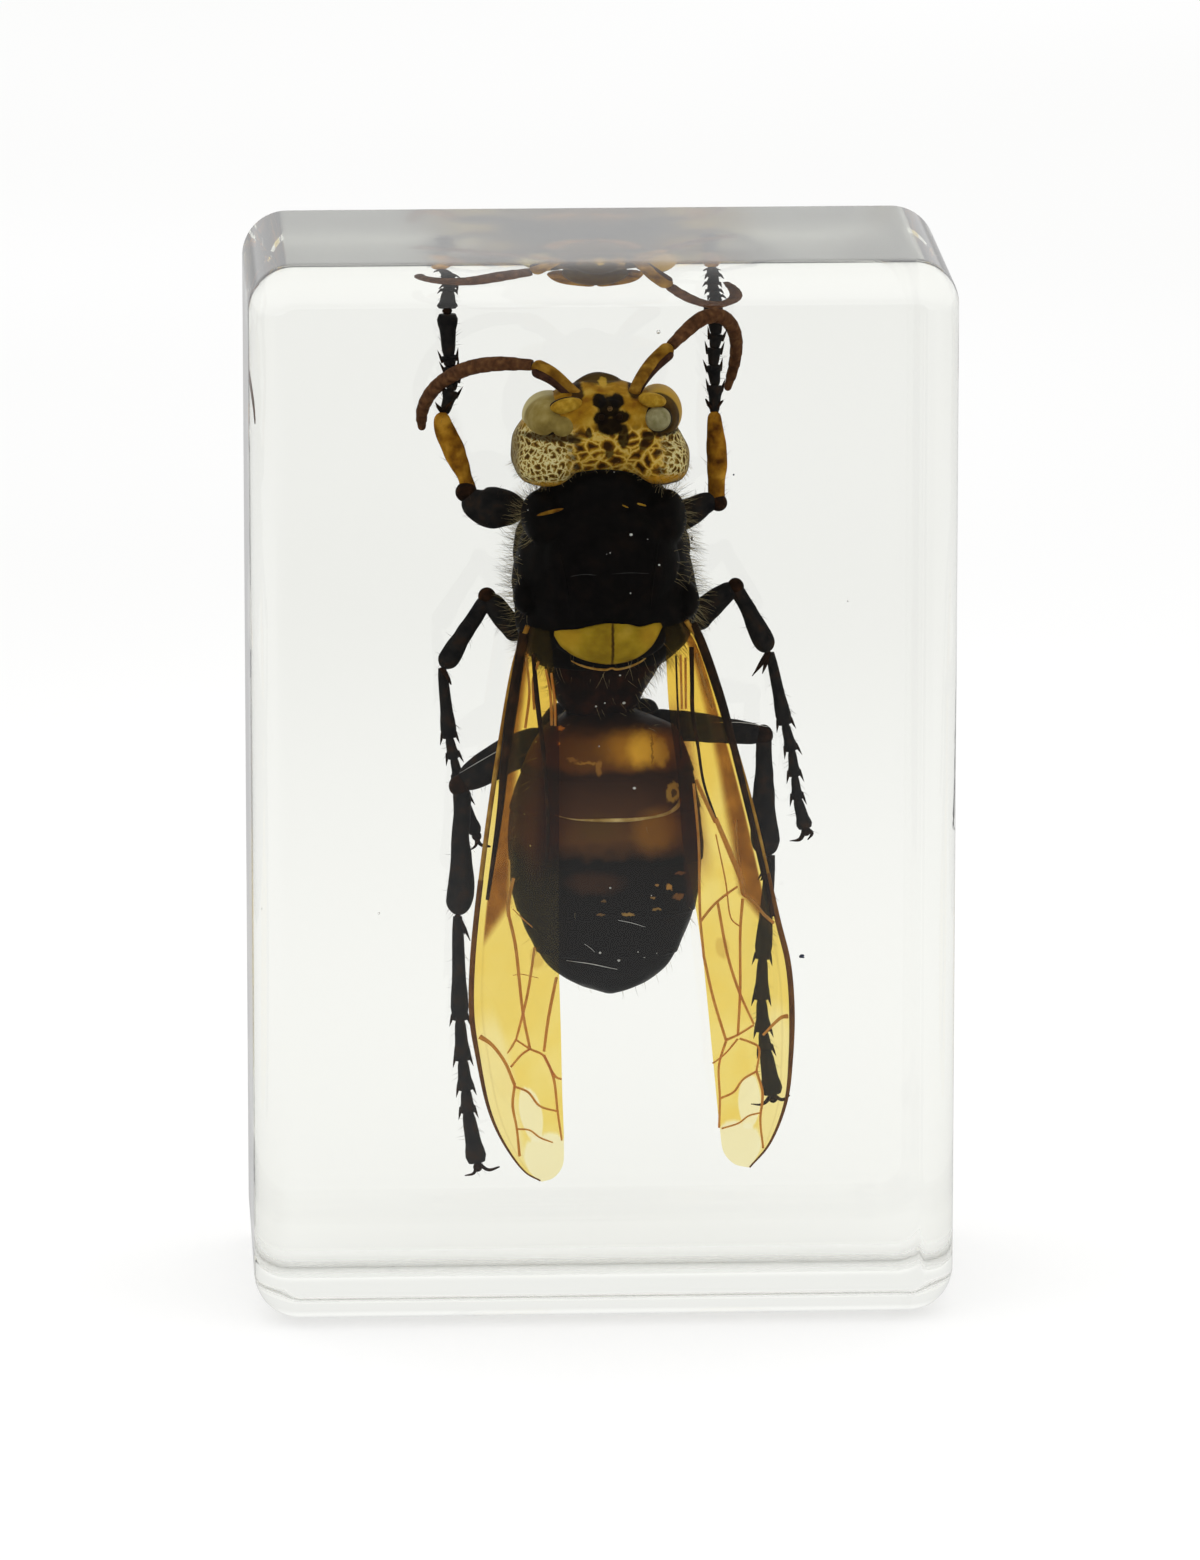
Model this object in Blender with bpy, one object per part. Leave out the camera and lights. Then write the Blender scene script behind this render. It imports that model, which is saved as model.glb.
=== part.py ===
"""Clear cast-resin specimen block, standing on its short side. Blender 4.5, metres, +Z up.

The origin is the middle of the underside. The polished viewing face looks along -Y and
the moulded back face along +Y. The insect is sealed in the resin with no cavity round it,
so the block is one solid from wall to wall.
"""

import math

import bmesh
import bpy

# Driving dimensions.
WIDTH = 0.040  # along X
DEPTH = 0.022  # along Y, from the viewing face to the back face
HEIGHT = 0.061  # along Z
CORNER_RADIUS = 0.0026  # the four corners that run from front to back

# The edge all round the viewing face is buffed to a soft quarter ellipse.
FRONT_ROUND_IN = 0.0021  # across the face
FRONT_ROUND_DEEP = 0.0034  # along the sides
BACK_RADIUS = 0.0011  # the edge all round the back face

# How finely the rounds are cut.
CORNER_STEPS = 10
FRONT_STEPS = 12
BACK_STEPS = 6

# Cast resin: almost colourless, glossy.
RESIN_COLOUR = (0.93, 0.94, 0.92, 1.0)
RESIN_IOR = 1.5
RESIN_ROUGHNESS = 0.02


def clear_scene():
    for obj in list(bpy.data.objects):
        bpy.data.objects.remove(obj, do_unlink=True)


def resin_material():
    material = bpy.data.materials.new("clear_cast_resin")
    material.use_nodes = True
    shader = material.node_tree.nodes["Principled BSDF"]
    shader.inputs["Base Color"].default_value = RESIN_COLOUR
    shader.inputs["Metallic"].default_value = 0.0
    shader.inputs["Roughness"].default_value = RESIN_ROUGHNESS
    shader.inputs["IOR"].default_value = RESIN_IOR
    shader.inputs["Transmission Weight"].default_value = 1.0
    return material


def rounded_outline(inset, y):
    """Points round the block's front view, drawn in by inset, from the +X side over the top."""
    radius = CORNER_RADIUS - inset
    centre_x = WIDTH / 2 - CORNER_RADIUS
    centre_z = HEIGHT / 2 - CORNER_RADIUS
    points = []
    for quarter, (side_x, side_z) in enumerate(((1, 1), (-1, 1), (-1, -1), (1, -1))):
        for step in range(CORNER_STEPS + 1):
            angle = math.radians(90 * (quarter + step / CORNER_STEPS))
            x = side_x * centre_x + radius * math.cos(angle)
            z = side_z * centre_z + radius * math.sin(angle) + HEIGHT / 2
            points.append((x, y, z))
    return points


def edge_stations():
    """(inset, y) of each outline, from the viewing face to the back face."""
    stations = []
    for step in range(FRONT_STEPS + 1):
        angle = math.radians(90 * step / FRONT_STEPS)
        inset = FRONT_ROUND_IN * (1 - math.sin(angle))
        stations.append((inset, -DEPTH / 2 + FRONT_ROUND_DEEP * (1 - math.cos(angle))))
    for step in range(BACK_STEPS + 1):
        angle = math.radians(90 * step / BACK_STEPS)
        inset = BACK_RADIUS * (1 - math.cos(angle))
        stations.append((inset, DEPTH / 2 - BACK_RADIUS * (1 - math.sin(angle))))
    return stations


def build_block():
    mesh = bpy.data.meshes.new("resin_block")
    shape = bmesh.new()
    rings = []
    for inset, y in edge_stations():
        rings.append([shape.verts.new(point) for point in rounded_outline(inset, y)])
    count = len(rings[0])
    for near, far in zip(rings, rings[1:]):
        for i in range(count):
            j = (i + 1) % count
            shape.faces.new((near[i], near[j], far[j], far[i]))
    shape.faces.new(rings[0])
    shape.faces.new(list(reversed(rings[-1])))
    bmesh.ops.recalc_face_normals(shape, faces=shape.faces)
    shape.to_mesh(mesh)
    shape.free()
    mesh.shade_smooth()
    mesh.materials.append(resin_material())
    block = bpy.data.objects.new("resin_block", mesh)
    bpy.context.scene.collection.objects.link(block)
    return block


clear_scene()
build_block()
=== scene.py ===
"""A hornet sealed in an upright block of clear cast resin.

The insect is seen from its back, head up, wings folded along the body and legs spread.
Every length below is in millimetres in the block's own frame: X to the right, Y away
from the viewing face, Z up from the underside. Meshes are turned into metres when made.
"""

import math

import bmesh
import bpy
import numpy as np
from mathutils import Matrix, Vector, noise
from mathutils.bvhtree import BVHTree


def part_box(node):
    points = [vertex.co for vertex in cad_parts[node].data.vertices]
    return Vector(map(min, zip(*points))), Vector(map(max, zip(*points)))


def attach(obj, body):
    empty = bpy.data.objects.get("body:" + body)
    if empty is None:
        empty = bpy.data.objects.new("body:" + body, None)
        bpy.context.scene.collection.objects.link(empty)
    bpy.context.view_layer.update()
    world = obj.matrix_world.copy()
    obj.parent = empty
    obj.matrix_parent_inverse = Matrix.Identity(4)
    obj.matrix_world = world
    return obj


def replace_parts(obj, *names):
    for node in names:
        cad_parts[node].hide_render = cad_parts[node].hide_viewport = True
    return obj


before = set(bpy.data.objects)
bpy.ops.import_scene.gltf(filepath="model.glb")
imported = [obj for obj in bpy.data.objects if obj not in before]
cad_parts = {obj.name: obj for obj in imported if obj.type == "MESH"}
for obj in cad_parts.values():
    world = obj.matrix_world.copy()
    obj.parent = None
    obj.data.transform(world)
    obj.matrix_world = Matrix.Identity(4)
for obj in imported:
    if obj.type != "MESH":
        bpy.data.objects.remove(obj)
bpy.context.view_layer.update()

MM = 0.001

# The block's sizes come from the frame. Its rounds are those of its solid.
LOW, HIGH = (np.array(corner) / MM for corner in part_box("resin_block"))
CORNER_RADIUS = 2.6
FRONT_ROUND_IN = 2.1
FRONT_ROUND_DEEP = 3.4
BACK_RADIUS = 1.1
RESIN_IOR = 1.5
POURED_ROUGHNESS = 0.2
SANDED_ROUGHNESS = 0.85
RESIN_TINT = (0.68, 0.7, 0.58, 1)
RESIN_DENSITY = 14.5
WING_THICKNESS = 0.04

# ---- Small tools ----


def colour(code):
    """A sRGB hex colour as linear RGBA."""
    shares = [int(code[i : i + 2], 16) / 255 for i in (1, 3, 5)]
    linear = [s / 12.92 if s <= 0.04045 else ((s + 0.055) / 1.055) ** 2.4 for s in shares]
    return (*linear, 1)


def add(tree, kind, inputs=None, stops=None, **settings):
    """Adds one node: settings first, then each input as a link or a plain value. A node given
    as an input stands for its first output."""
    node = tree.nodes.new(kind)
    for name, value in settings.items():
        setattr(node, name, value)
    for place, value in (inputs or {}).items():
        if isinstance(value, bpy.types.Node):
            value = value.outputs[0]
        if isinstance(value, bpy.types.NodeSocket):
            tree.links.new(value, node.inputs[place])
        else:
            node.inputs[place].default_value = value
    if stops:
        ramp = node.color_ramp.elements
        while len(ramp) < len(stops):
            ramp.new(0.5)
        for element, (place, code) in zip(ramp, stops):
            element.position = place
            element.color = colour(code)
    return node


def spline(points, count, ends="even"):
    """A smooth curve through given rows. Columns past the third, such as radii, follow along."""
    rows = np.array(points, float)
    gaps = np.sqrt(np.linalg.norm(np.diff(rows[:, :3], axis=0), axis=1))
    knots = np.concatenate([[0], np.cumsum(gaps)])
    steps = np.diff(rows, axis=0) / gaps[:, None]
    slopes = np.vstack([steps[:1], np.zeros((len(rows) - 2, rows.shape[1])), steps[-1:]])
    for i in range(1, len(rows) - 1):
        before, after = gaps[i - 1], gaps[i]
        slopes[i] = (steps[i - 1] * after + steps[i] * before) / (before + after)
    share = np.linspace(0, 1, count)
    if ends == "dense":
        share = (1 - np.cos(math.pi * share)) / 2
    at = share * knots[-1]
    span = np.clip(np.searchsorted(knots, at, side="right") - 1, 0, len(gaps) - 1)
    width = gaps[span][:, None]
    t = (at - knots[span])[:, None] / width
    start, stop = rows[span], rows[span + 1]
    return (
        (2 * t**3 - 3 * t**2 + 1) * start
        + (t**3 - 2 * t**2 + t) * width * slopes[span]
        + (3 * t**2 - 2 * t**3) * stop
        + (t**3 - t**2) * width * slopes[span + 1]
    )


class Shell:
    """One closed skin: points in millimetres, faces, and a UV pair for each face corner."""

    def __init__(self, points, faces, uvs, material):
        self.points = np.array(points, float)
        self.faces = faces
        self.uvs = uvs
        self.material = material


def skin(rings, material):
    """Joins rings of points into a closed skin, each end drawn to a point in its middle."""
    rings = np.array(rings, float)
    levels, sides = rings.shape[:2]
    points = np.vstack([rings.reshape(-1, 3), rings[0].mean(0), rings[-1].mean(0)])
    faces, uvs = [], []
    for level in range(levels - 1):
        low, high = level / (levels - 1), (level + 1) / (levels - 1)
        for i in range(sides):
            j = (i + 1) % sides
            near, far = level * sides, (level + 1) * sides
            faces.append((near + i, near + j, far + j, far + i))
            left, right = i / sides, (i + 1) / sides
            uvs.append(((left, low), (right, low), (right, high), (left, high)))
    first, last = levels * sides, levels * sides + 1
    top = (levels - 1) * sides
    for i in range(sides):
        j = (i + 1) % sides
        left, right = i / sides, (i + 1) / sides
        faces.append((first, j, i))
        uvs.append(((left, 0), (right, 0), (left, 0)))
        faces.append((last, top + i, top + j))
        uvs.append(((left, 1), (left, 1), (right, 1)))
    return Shell(points, faces, uvs, material)


def limb(rows, material, count=40, sides=20, flat=1.0, ends="round"):
    """A round-ended tube along rows of (x, y, z, radius). flat scales its radius in depth."""
    path = spline(rows, count, "dense")
    centres, radii = path[:, :3], path[:, 3].copy()
    run = np.concatenate([[0], np.cumsum(np.linalg.norm(np.diff(centres, axis=0), axis=1))])
    if ends == "round":
        for reach in (run, run[-1] - run):
            near = np.clip(reach / np.maximum(radii, 1e-6), 0, 1)
            radii = radii * np.sqrt(np.clip(1 - (1 - near) ** 2, 1e-4, 1))
    ahead = np.gradient(centres, axis=0)
    ahead /= np.linalg.norm(ahead, axis=1)[:, None]
    across = np.cross(ahead, (0, -1, 0.02))
    across /= np.linalg.norm(across, axis=1)[:, None]
    deep = np.cross(across, ahead)
    turns = np.linspace(0, 2 * math.pi, sides, endpoint=False)
    rings = (
        centres[:, None]
        + radii[:, None, None] * np.cos(turns)[None, :, None] * across[:, None]
        + flat * radii[:, None, None] * np.sin(turns)[None, :, None] * deep[:, None]
    )
    return skin(rings, material)


def trunk(rows, material, count=72, sides=96, square=2.0, ends="dense"):
    """A body section along Z from rows of (z, left, right, front, back) edges."""
    path = spline(np.column_stack([np.zeros((len(rows), 2)), rows]), count, ends)
    turns = np.linspace(0, 2 * math.pi, sides, endpoint=False)
    cosine = np.sign(np.cos(turns)) * np.abs(np.cos(turns)) ** (2 / square)
    sine = np.sign(np.sin(turns)) * np.abs(np.sin(turns)) ** (2 / square)
    rings = []
    for _, _, z, left, right, front, back in path:
        x = (left + right) / 2 + (right - left) / 2 * cosine
        y = (front + back) / 2 + (back - front) / 2 * sine
        rings.append(np.column_stack([x, y, np.full(sides, z)]))
    return skin(rings, material)


def ball(centre, radii, material, turn=0.0, rings=32, sides=48):
    """An ellipsoid. turn, in degrees, swings it in the front view."""
    rows = []
    for level in range(rings + 1):
        angle = math.pi * (level + 0.02) / (rings + 0.04)
        turns = np.linspace(0, 2 * math.pi, sides, endpoint=False)
        rows.append(
            np.column_stack(
                [
                    radii[0] * math.sin(angle) * np.cos(turns), radii[1] * math.sin(angle) * np.sin(turns),
                    np.full(sides, radii[2] * math.cos(angle)),
                ]
            )
        )
    swing = math.radians(turn)
    rows = np.array(rows)
    x, z = rows[..., 0].copy(), rows[..., 2].copy()
    rows[..., 0] = x * math.cos(swing) - z * math.sin(swing)
    rows[..., 2] = x * math.sin(swing) + z * math.cos(swing)
    return skin(rows + np.array(centre), material)


def mesh_of(name, shells):
    """One mesh in metres from several shells, with their UVs and materials."""
    points, faces, loops, slots, materials = [], [], [], [], []
    for shell in shells:
        if shell.material not in materials:
            materials.append(shell.material)
        base = len(points)
        points.extend(shell.points * MM)
        faces.extend(tuple(base + i for i in face) for face in shell.faces)
        loops.extend(pair for face in shell.uvs for pair in face)
        slots.extend([materials.index(shell.material)] * len(shell.faces))
    mesh = bpy.data.meshes.new(name)
    mesh.from_pydata([tuple(p) for p in points], [], faces)
    mesh.uv_layers.new(name="UVMap").data.foreach_set("uv", np.array(loops).ravel())
    mesh.polygons.foreach_set("material_index", slots)
    for material in materials:
        mesh.materials.append(material)
    face_out(mesh)
    mesh.shade_smooth()
    return mesh


def face_out(mesh):
    """Turns every closed skin's faces outwards."""
    work = bmesh.new()
    work.from_mesh(mesh)
    bmesh.ops.recalc_face_normals(work, faces=work.faces)
    work.to_mesh(mesh)
    work.free()


def place(mesh, slot):
    """Puts a finished mesh in the scene as a piece of the one body."""
    piece = bpy.data.objects.new(mesh.name, mesh)
    bpy.context.scene.collection.objects.link(piece)
    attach(piece, "root")
    return piece


def baked(mesh, *modifiers):
    """The mesh after the given modifiers, each as (kind, settings)."""
    helper = bpy.data.objects.new(mesh.name + "_work", mesh)
    bpy.context.scene.collection.objects.link(helper)
    for kind, settings in modifiers:
        modifier = helper.modifiers.new(kind, kind)
        for key, value in settings.items():
            setattr(modifier, key, value)
    graph = bpy.context.evaluated_depsgraph_get()
    result = bpy.data.meshes.new_from_object(helper.evaluated_get(graph))
    result.name = mesh.name
    bpy.data.objects.remove(helper)
    return result


def fused(name, shells, voxel, smooth):
    """Overlapping skins grown into one, as grown parts are, with one material."""
    mesh = mesh_of(name, shells)
    mesh = baked(
        mesh, ("REMESH", {"mode": "VOXEL", "voxel_size": voxel * MM, "use_smooth_shade": True}),
        ("SMOOTH", {"factor": 0.5, "iterations": smooth}),
    )
    mesh.materials.clear()
    mesh.materials.append(shells[0].material)
    mesh.shade_smooth()
    return mesh


def roughened(mesh, size, depth, seed):
    """Moves each point along its normal by smooth noise, for dried, uneven skin."""
    offset = Vector((seed * 7.1, seed * 3.3, seed * 5.7))
    normals = [v.normal.copy() for v in mesh.vertices]
    for vertex, normal in zip(mesh.vertices, normals):
        lift = noise.noise(vertex.co / (size * MM) + offset)
        vertex.co += normal * lift * depth * MM
    return mesh


def growth_tree(name, inputs):
    """An empty Geometry Nodes tree that takes a mesh and the named inputs."""
    tree = bpy.data.node_groups.new(name, "GeometryNodeTree")
    for way in ("INPUT", "OUTPUT"):
        tree.interface.new_socket("Geometry", in_out=way, socket_type="NodeSocketGeometry")
    for label, kind in inputs.items():
        tree.interface.new_socket(label, in_out="INPUT", socket_type="NodeSocket" + kind)
    return tree, add(tree, "NodeGroupInput").outputs


def end_tree(tree, instances):
    """Makes the instances real, gives them the tree's Material input, and ends the tree."""
    given = next(node for node in tree.nodes if node.type == "GROUP_INPUT").outputs
    real = add(tree, "GeometryNodeRealizeInstances", {"Geometry": instances})
    dressed = add(tree, "GeometryNodeSetMaterial", {"Geometry": real, "Material": given["Material"]})
    add(tree, "NodeGroupOutput", {"Geometry": dressed})
    return tree


def named(tree, title, kind):
    """A point attribute of the mesh that the tree is given."""
    node = add(tree, "GeometryNodeInputNamedAttribute", {"Name": title}, data_type=kind)
    return node.outputs["Attribute"]


def swept(tree, path, sides, radius, taper):
    """A closed tube along a path, its radius multiplied by taper."""
    ring = add(tree, "GeometryNodeCurvePrimitiveCircle", {"Resolution": sides, "Radius": radius})
    return add(
        tree, "GeometryNodeCurveToMesh",
        {"Curve": path, "Profile Curve": ring, "Scale": taper, "Fill Caps": True},
    )


def hair_tree():
    """Tapered, slightly bent hairs, scattered where the skin's hairy attribute lets them grow."""
    tree, given = growth_tree(
        "hair_growth",
        {
            "Hairs per mm2": "Float", "Length": "Float", "Root Radius": "Float", "Lean": "Vector",
            "Seed": "Int", "Material": "Material",
        },
    )
    share = add(
        tree, "ShaderNodeMath", {0: named(tree, "hairy", "FLOAT"), 1: given["Hairs per mm2"]},
        operation="MULTIPLY",
    )
    density = add(tree, "ShaderNodeMath", {0: share, 1: 1 / MM**2}, operation="MULTIPLY")
    roots = add(
        tree, "GeometryNodeDistributePointsOnFaces",
        {"Mesh": given["Geometry"], "Density": density, "Seed": given["Seed"]},
    )
    bend = add(
        tree, "GeometryNodeCurveQuadraticBezier",
        {"Resolution": 4, "Start": (0, 0, 0), "Middle": (0.05, 0, 0.5), "End": (0.25, 0, 0.95)},
    )
    along = add(tree, "GeometryNodeSplineParameter").outputs["Factor"]
    taper = add(tree, "ShaderNodeMapRange", {"Value": along, "To Min": 1, "To Max": 0.2})
    relative = add(
        tree, "ShaderNodeMath", {0: given["Root Radius"], 1: given["Length"]}, operation="DIVIDE",
    )
    hair = swept(tree, bend, 3, relative, taper)
    spread = add(
        tree, "FunctionNodeRandomValue", {0: (-0.4, -0.4, -0.4), 1: (0.4, 0.4, 0.4), "Seed": given["Seed"]},
        data_type="FLOAT_VECTOR",
    )
    leaning = add(
        tree, "ShaderNodeVectorMath", {0: roots.outputs["Normal"], 1: given["Lean"]}, operation="ADD",
    )
    aim = add(tree, "ShaderNodeVectorMath", {0: leaning, 1: spread}, operation="ADD")
    turn = add(tree, "FunctionNodeAlignRotationToVector", {"Vector": aim}, axis="Z")
    vary = add(tree, "FunctionNodeRandomValue", {2: 0.5, 3: 1, "Seed": given["Seed"]})
    size = add(tree, "ShaderNodeMath", {0: vary.outputs[1], 1: given["Length"]}, operation="MULTIPLY")
    hairs = add(
        tree, "GeometryNodeInstanceOnPoints",
        {"Points": roots.outputs["Points"], "Instance": hair, "Rotation": turn, "Scale": size},
    )
    return end_tree(tree, hairs)


def segment_tree(name, profile):
    """At each point, one segment along its reach, as thick as its girth. profile gives the
    segment's outline as (share of its length, share of its girth)."""
    tree, given = growth_tree(name, {"Sides": "Int", "Material": "Material"})
    axis = add(tree, "GeometryNodeCurvePrimitiveLine", {"Start": (0, 0, 0), "End": (0, 0, 1)})
    steps = add(tree, "GeometryNodeResampleCurve", {"Curve": axis, "Count": 9})
    along = add(tree, "GeometryNodeSplineParameter").outputs["Factor"]
    outline = add(tree, "ShaderNodeFloatCurve", {"Value": along})
    curve = outline.mapping.curves[0]
    while len(curve.points) < len(profile):
        curve.points.new(0.5, 0.5)
    for point, spot in zip(curve.points, profile):
        point.location = spot
    outline.mapping.update()
    tube = swept(tree, steps, given["Sides"], 1, outline)
    reach = named(tree, "reach", "FLOAT_VECTOR")
    girth = named(tree, "girth", "FLOAT")
    length = add(tree, "ShaderNodeVectorMath", {0: reach}, operation="LENGTH")
    size = add(tree, "ShaderNodeCombineXYZ", {"X": girth, "Y": girth, "Z": length.outputs["Value"]})
    turn = add(tree, "FunctionNodeAlignRotationToVector", {"Vector": reach}, axis="Z")
    points = add(tree, "GeometryNodeMeshToPoints", {"Mesh": given["Geometry"]})
    segments = add(
        tree, "GeometryNodeInstanceOnPoints",
        {"Points": points, "Instance": tube, "Rotation": turn, "Scale": size},
    )
    return end_tree(tree, segments)


def vein_tree():
    """A tube along each line of the mesh, as thick as its girth."""
    tree, given = growth_tree("vein_growth", {"Sides": "Int", "Material": "Material"})
    path = add(tree, "GeometryNodeMeshToCurve", {"Mesh": given["Geometry"]})
    tube = swept(tree, path, given["Sides"], 1, named(tree, "girth", "FLOAT"))
    return end_tree(tree, tube)


def speck_tree():
    """Small grains lying on a skin."""
    tree, given = growth_tree(
        "speck_growth", {"Specks per mm2": "Float", "Size": "Float", "Seed": "Int", "Material": "Material"},
    )
    density = add(tree, "ShaderNodeMath", {0: given["Specks per mm2"], 1: 1 / MM**2}, operation="MULTIPLY")
    spots = add(
        tree, "GeometryNodeDistributePointsOnFaces",
        {"Mesh": given["Geometry"], "Density": density, "Seed": given["Seed"]},
    )
    grain = add(tree, "GeometryNodeMeshIcoSphere", {"Radius": 1, "Subdivisions": 1})
    vary = add(
        tree, "FunctionNodeRandomValue", {0: (0.3, 0.3, 0.3), 1: (1, 1, 1), "Seed": given["Seed"]},
        data_type="FLOAT_VECTOR",
    )
    size = add(tree, "ShaderNodeVectorMath", {0: vary, "Scale": given["Size"]}, operation="SCALE")
    grains = add(
        tree, "GeometryNodeInstanceOnPoints",
        {
            "Points": spots.outputs["Points"], "Instance": grain, "Rotation": spots.outputs["Rotation"],
            "Scale": size,
        },
    )
    return end_tree(tree, grains)


def grown(name, mesh, tree, inputs):
    """The plain mesh that a tree grows from a mesh."""
    helper = bpy.data.objects.new(name + "_seed", mesh)
    bpy.context.scene.collection.objects.link(helper)
    modifier = helper.modifiers.new("growth", "NODES")
    modifier.node_group = tree
    for socket in tree.interface.items_tree:
        if socket.in_out == "INPUT" and socket.name in inputs:
            modifier[socket.identifier] = inputs[socket.name]
    graph = bpy.context.evaluated_depsgraph_get()
    result = bpy.data.meshes.new_from_object(helper.evaluated_get(graph))
    result.name = name
    helper.modifiers.remove(modifier)
    bpy.data.objects.remove(helper)
    result.shade_smooth()
    return result


def seeds(name, rows):
    """Loose points in metres for a segment tree, from rows of (start, stop, radius) in mm."""
    mesh = bpy.data.meshes.new(name)
    starts = [np.array(start) * MM for start, _, _ in rows]
    mesh.from_pydata([tuple(start) for start in starts], [], [])
    reaches = [(np.array(stop) - np.array(start)) * MM for start, stop, _ in rows]
    girths = [radius * MM for _, _, radius in rows]
    reach = mesh.attributes.new("reach", "FLOAT_VECTOR", "POINT")
    reach.data.foreach_set("vector", np.array(reaches).ravel())
    girth = mesh.attributes.new("girth", "FLOAT", "POINT")
    girth.data.foreach_set("value", girths)
    return mesh


def lines(name, paths):
    """Lines in metres for the vein tree, from paths of (x, y, z, radius) rows in mm."""
    points, edges, radii = [], [], []
    for path in paths:
        base = len(points)
        points.extend(tuple(row[:3] * MM) for row in path)
        radii.extend(row[3] * MM for row in path)
        edges.extend((base + i, base + i + 1) for i in range(len(path) - 1))
    mesh = bpy.data.meshes.new(name)
    mesh.from_pydata(points, edges, [])
    mesh.attributes.new("girth", "FLOAT", "POINT").data.foreach_set("value", radii)
    return mesh


def mark_hairy(mesh, rule):
    """Writes where hairs grow: rule takes a point and its normal in mm and gives 0 to 1."""
    hairy = mesh.attributes.new("hairy", "FLOAT", "POINT")
    for i, vertex in enumerate(mesh.vertices):
        hairy.data[i].value = rule(vertex.co / MM, vertex.normal)


class Surface:
    """A mesh that other pieces can be laid on, seen from the front."""

    def __init__(self, mesh):
        points = [v.co / MM for v in mesh.vertices]
        self.tree = BVHTree.FromPolygons(points, [tuple(p.vertices) for p in mesh.polygons])

    def depth(self, x, z, lift=0.0):
        """How deep the surface is behind a place in the front view, less a lift."""
        start = Vector((x, LOW[1], z))
        hit = self.tree.ray_cast(start, Vector((0, 1, 0)))[0]
        if hit is None:
            hit = self.tree.find_nearest(Vector((x, 0, z)))[0]
        return hit.y - lift

    def drape(self, path, lift=0.0):
        """Rows of (x, z, radius) smoothed and laid on the surface as (x, y, z, radius)."""
        rows = [(x, 0, z, radius) for x, z, radius in path]
        smooth = spline(rows, 8 * len(rows))
        for row in smooth:
            row[1] = self.depth(row[0], row[2], lift)
        return smooth


def draw_lines(name, paths, material, slot, sides=6):
    """Thin round lines along paths of (x, y, z, radius) rows, placed as one piece."""
    seed = lines(name + "_path", paths)
    place(grown(name, seed, VEINS, {"Sides": sides, "Material": material}), slot)


HAIRS = hair_tree()
VEINS = vein_tree()
SPECKS = speck_tree()
TARSOMERES = segment_tree("tarsomere_growth", [(0, 0.5), (0.12, 0.62), (0.6, 0.78), (0.9, 1), (1, 0.8)])
FEELER_RINGS = segment_tree("feeler_ring_growth", [(0, 0.86), (0.12, 0.95), (0.7, 1), (0.93, 1), (1, 0.9)])
THORNS = segment_tree("thorn_growth", [(0, 1), (0.4, 0.72), (0.8, 0.3), (1, 0.04)])

# ---- Materials ----

# Cuticle lies in resin of nearly its own index, so it has almost no gloss of its own.
CUTICLE_IN_RESIN_IOR = 1.08


def new_material(name):
    """A material with no nodes yet, and its node tree."""
    material = bpy.data.materials.new(name)
    material.use_nodes = True
    material.node_tree.nodes.clear()
    return material, material.node_tree


def finish(tree, surface, volume=None):
    """Ends a material's tree with its surface and, for the resin, what fills its inside."""
    inputs = {"Surface": surface, "Volume": volume} if volume else {"Surface": surface}
    add(tree, "ShaderNodeOutputMaterial", inputs)


def in_mm(tree):
    """The piece's own coordinates in millimetres."""
    coords = add(tree, "ShaderNodeTexCoord").outputs["Object"]
    return add(tree, "ShaderNodeVectorMath", {0: coords, "Scale": 1 / MM}, operation="SCALE")


def wobbled(tree, place_mm, size, depth):
    """Coordinates shifted by noise, so that painted edges aren't straight."""
    cloud = add(tree, "ShaderNodeTexNoise", {"Vector": place_mm, "Scale": 1 / size, "Detail": 3.0})
    centred = add(
        tree, "ShaderNodeVectorMath", {0: cloud.outputs["Color"], 1: (0.5, 0.5, 0.5)}, operation="SUBTRACT",
    )
    pushed = add(tree, "ShaderNodeVectorMath", {0: centred, "Scale": 2 * depth}, operation="SCALE")
    return add(tree, "ShaderNodeVectorMath", {0: place_mm, 1: pushed}, operation="ADD")


def patch(tree, place_mm, centre, radii, soft):
    """1 inside an ellipsoid of the given centre and radii, falling to 0 over soft of its size."""
    away = add(tree, "ShaderNodeVectorMath", {0: place_mm, 1: centre}, operation="SUBTRACT")
    shares = add(tree, "ShaderNodeVectorMath", {0: away, 1: radii}, operation="DIVIDE")
    length = add(tree, "ShaderNodeVectorMath", {0: shares}, operation="LENGTH")
    return add(
        tree, "ShaderNodeMapRange",
        {"Value": length.outputs["Value"], "From Min": 1 + soft / 2, "From Max": 1 - soft / 2},
        interpolation_type="SMOOTHSTEP",
    )


def blend(tree, share, first, second):
    """Mixes two colours, each a socket or a hex code."""
    sides = [colour(side) if isinstance(side, str) else side for side in (first, second)]
    mix = add(tree, "ShaderNodeMix", {0: share, 6: sides[0], 7: sides[1]}, data_type="RGBA")
    return mix.outputs[2]


def painted(tree, tone, where, marks):
    """Lays soft-edged marks over a tone, each (centre, radii, softness, strength, colour)."""
    for centre, radii, soft, strength, code in marks:
        spot = patch(tree, where, centre, radii, soft)
        held = add(tree, "ShaderNodeMath", {0: spot, 1: strength}, operation="MULTIPLY")
        tone = blend(tree, held, tone, code)
    return tone


def cloudy(tree, where, grain, stops, detail=5.0):
    """A tone that drifts between colours over about grain millimetres."""
    clouds = add(tree, "ShaderNodeTexNoise", {"Vector": where, "Scale": 1 / grain, "Detail": detail})
    tone = add(tree, "ShaderNodeValToRGB", {"Fac": clouds.outputs["Fac"]}, stops=stops)
    return tone.outputs["Color"]


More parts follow.
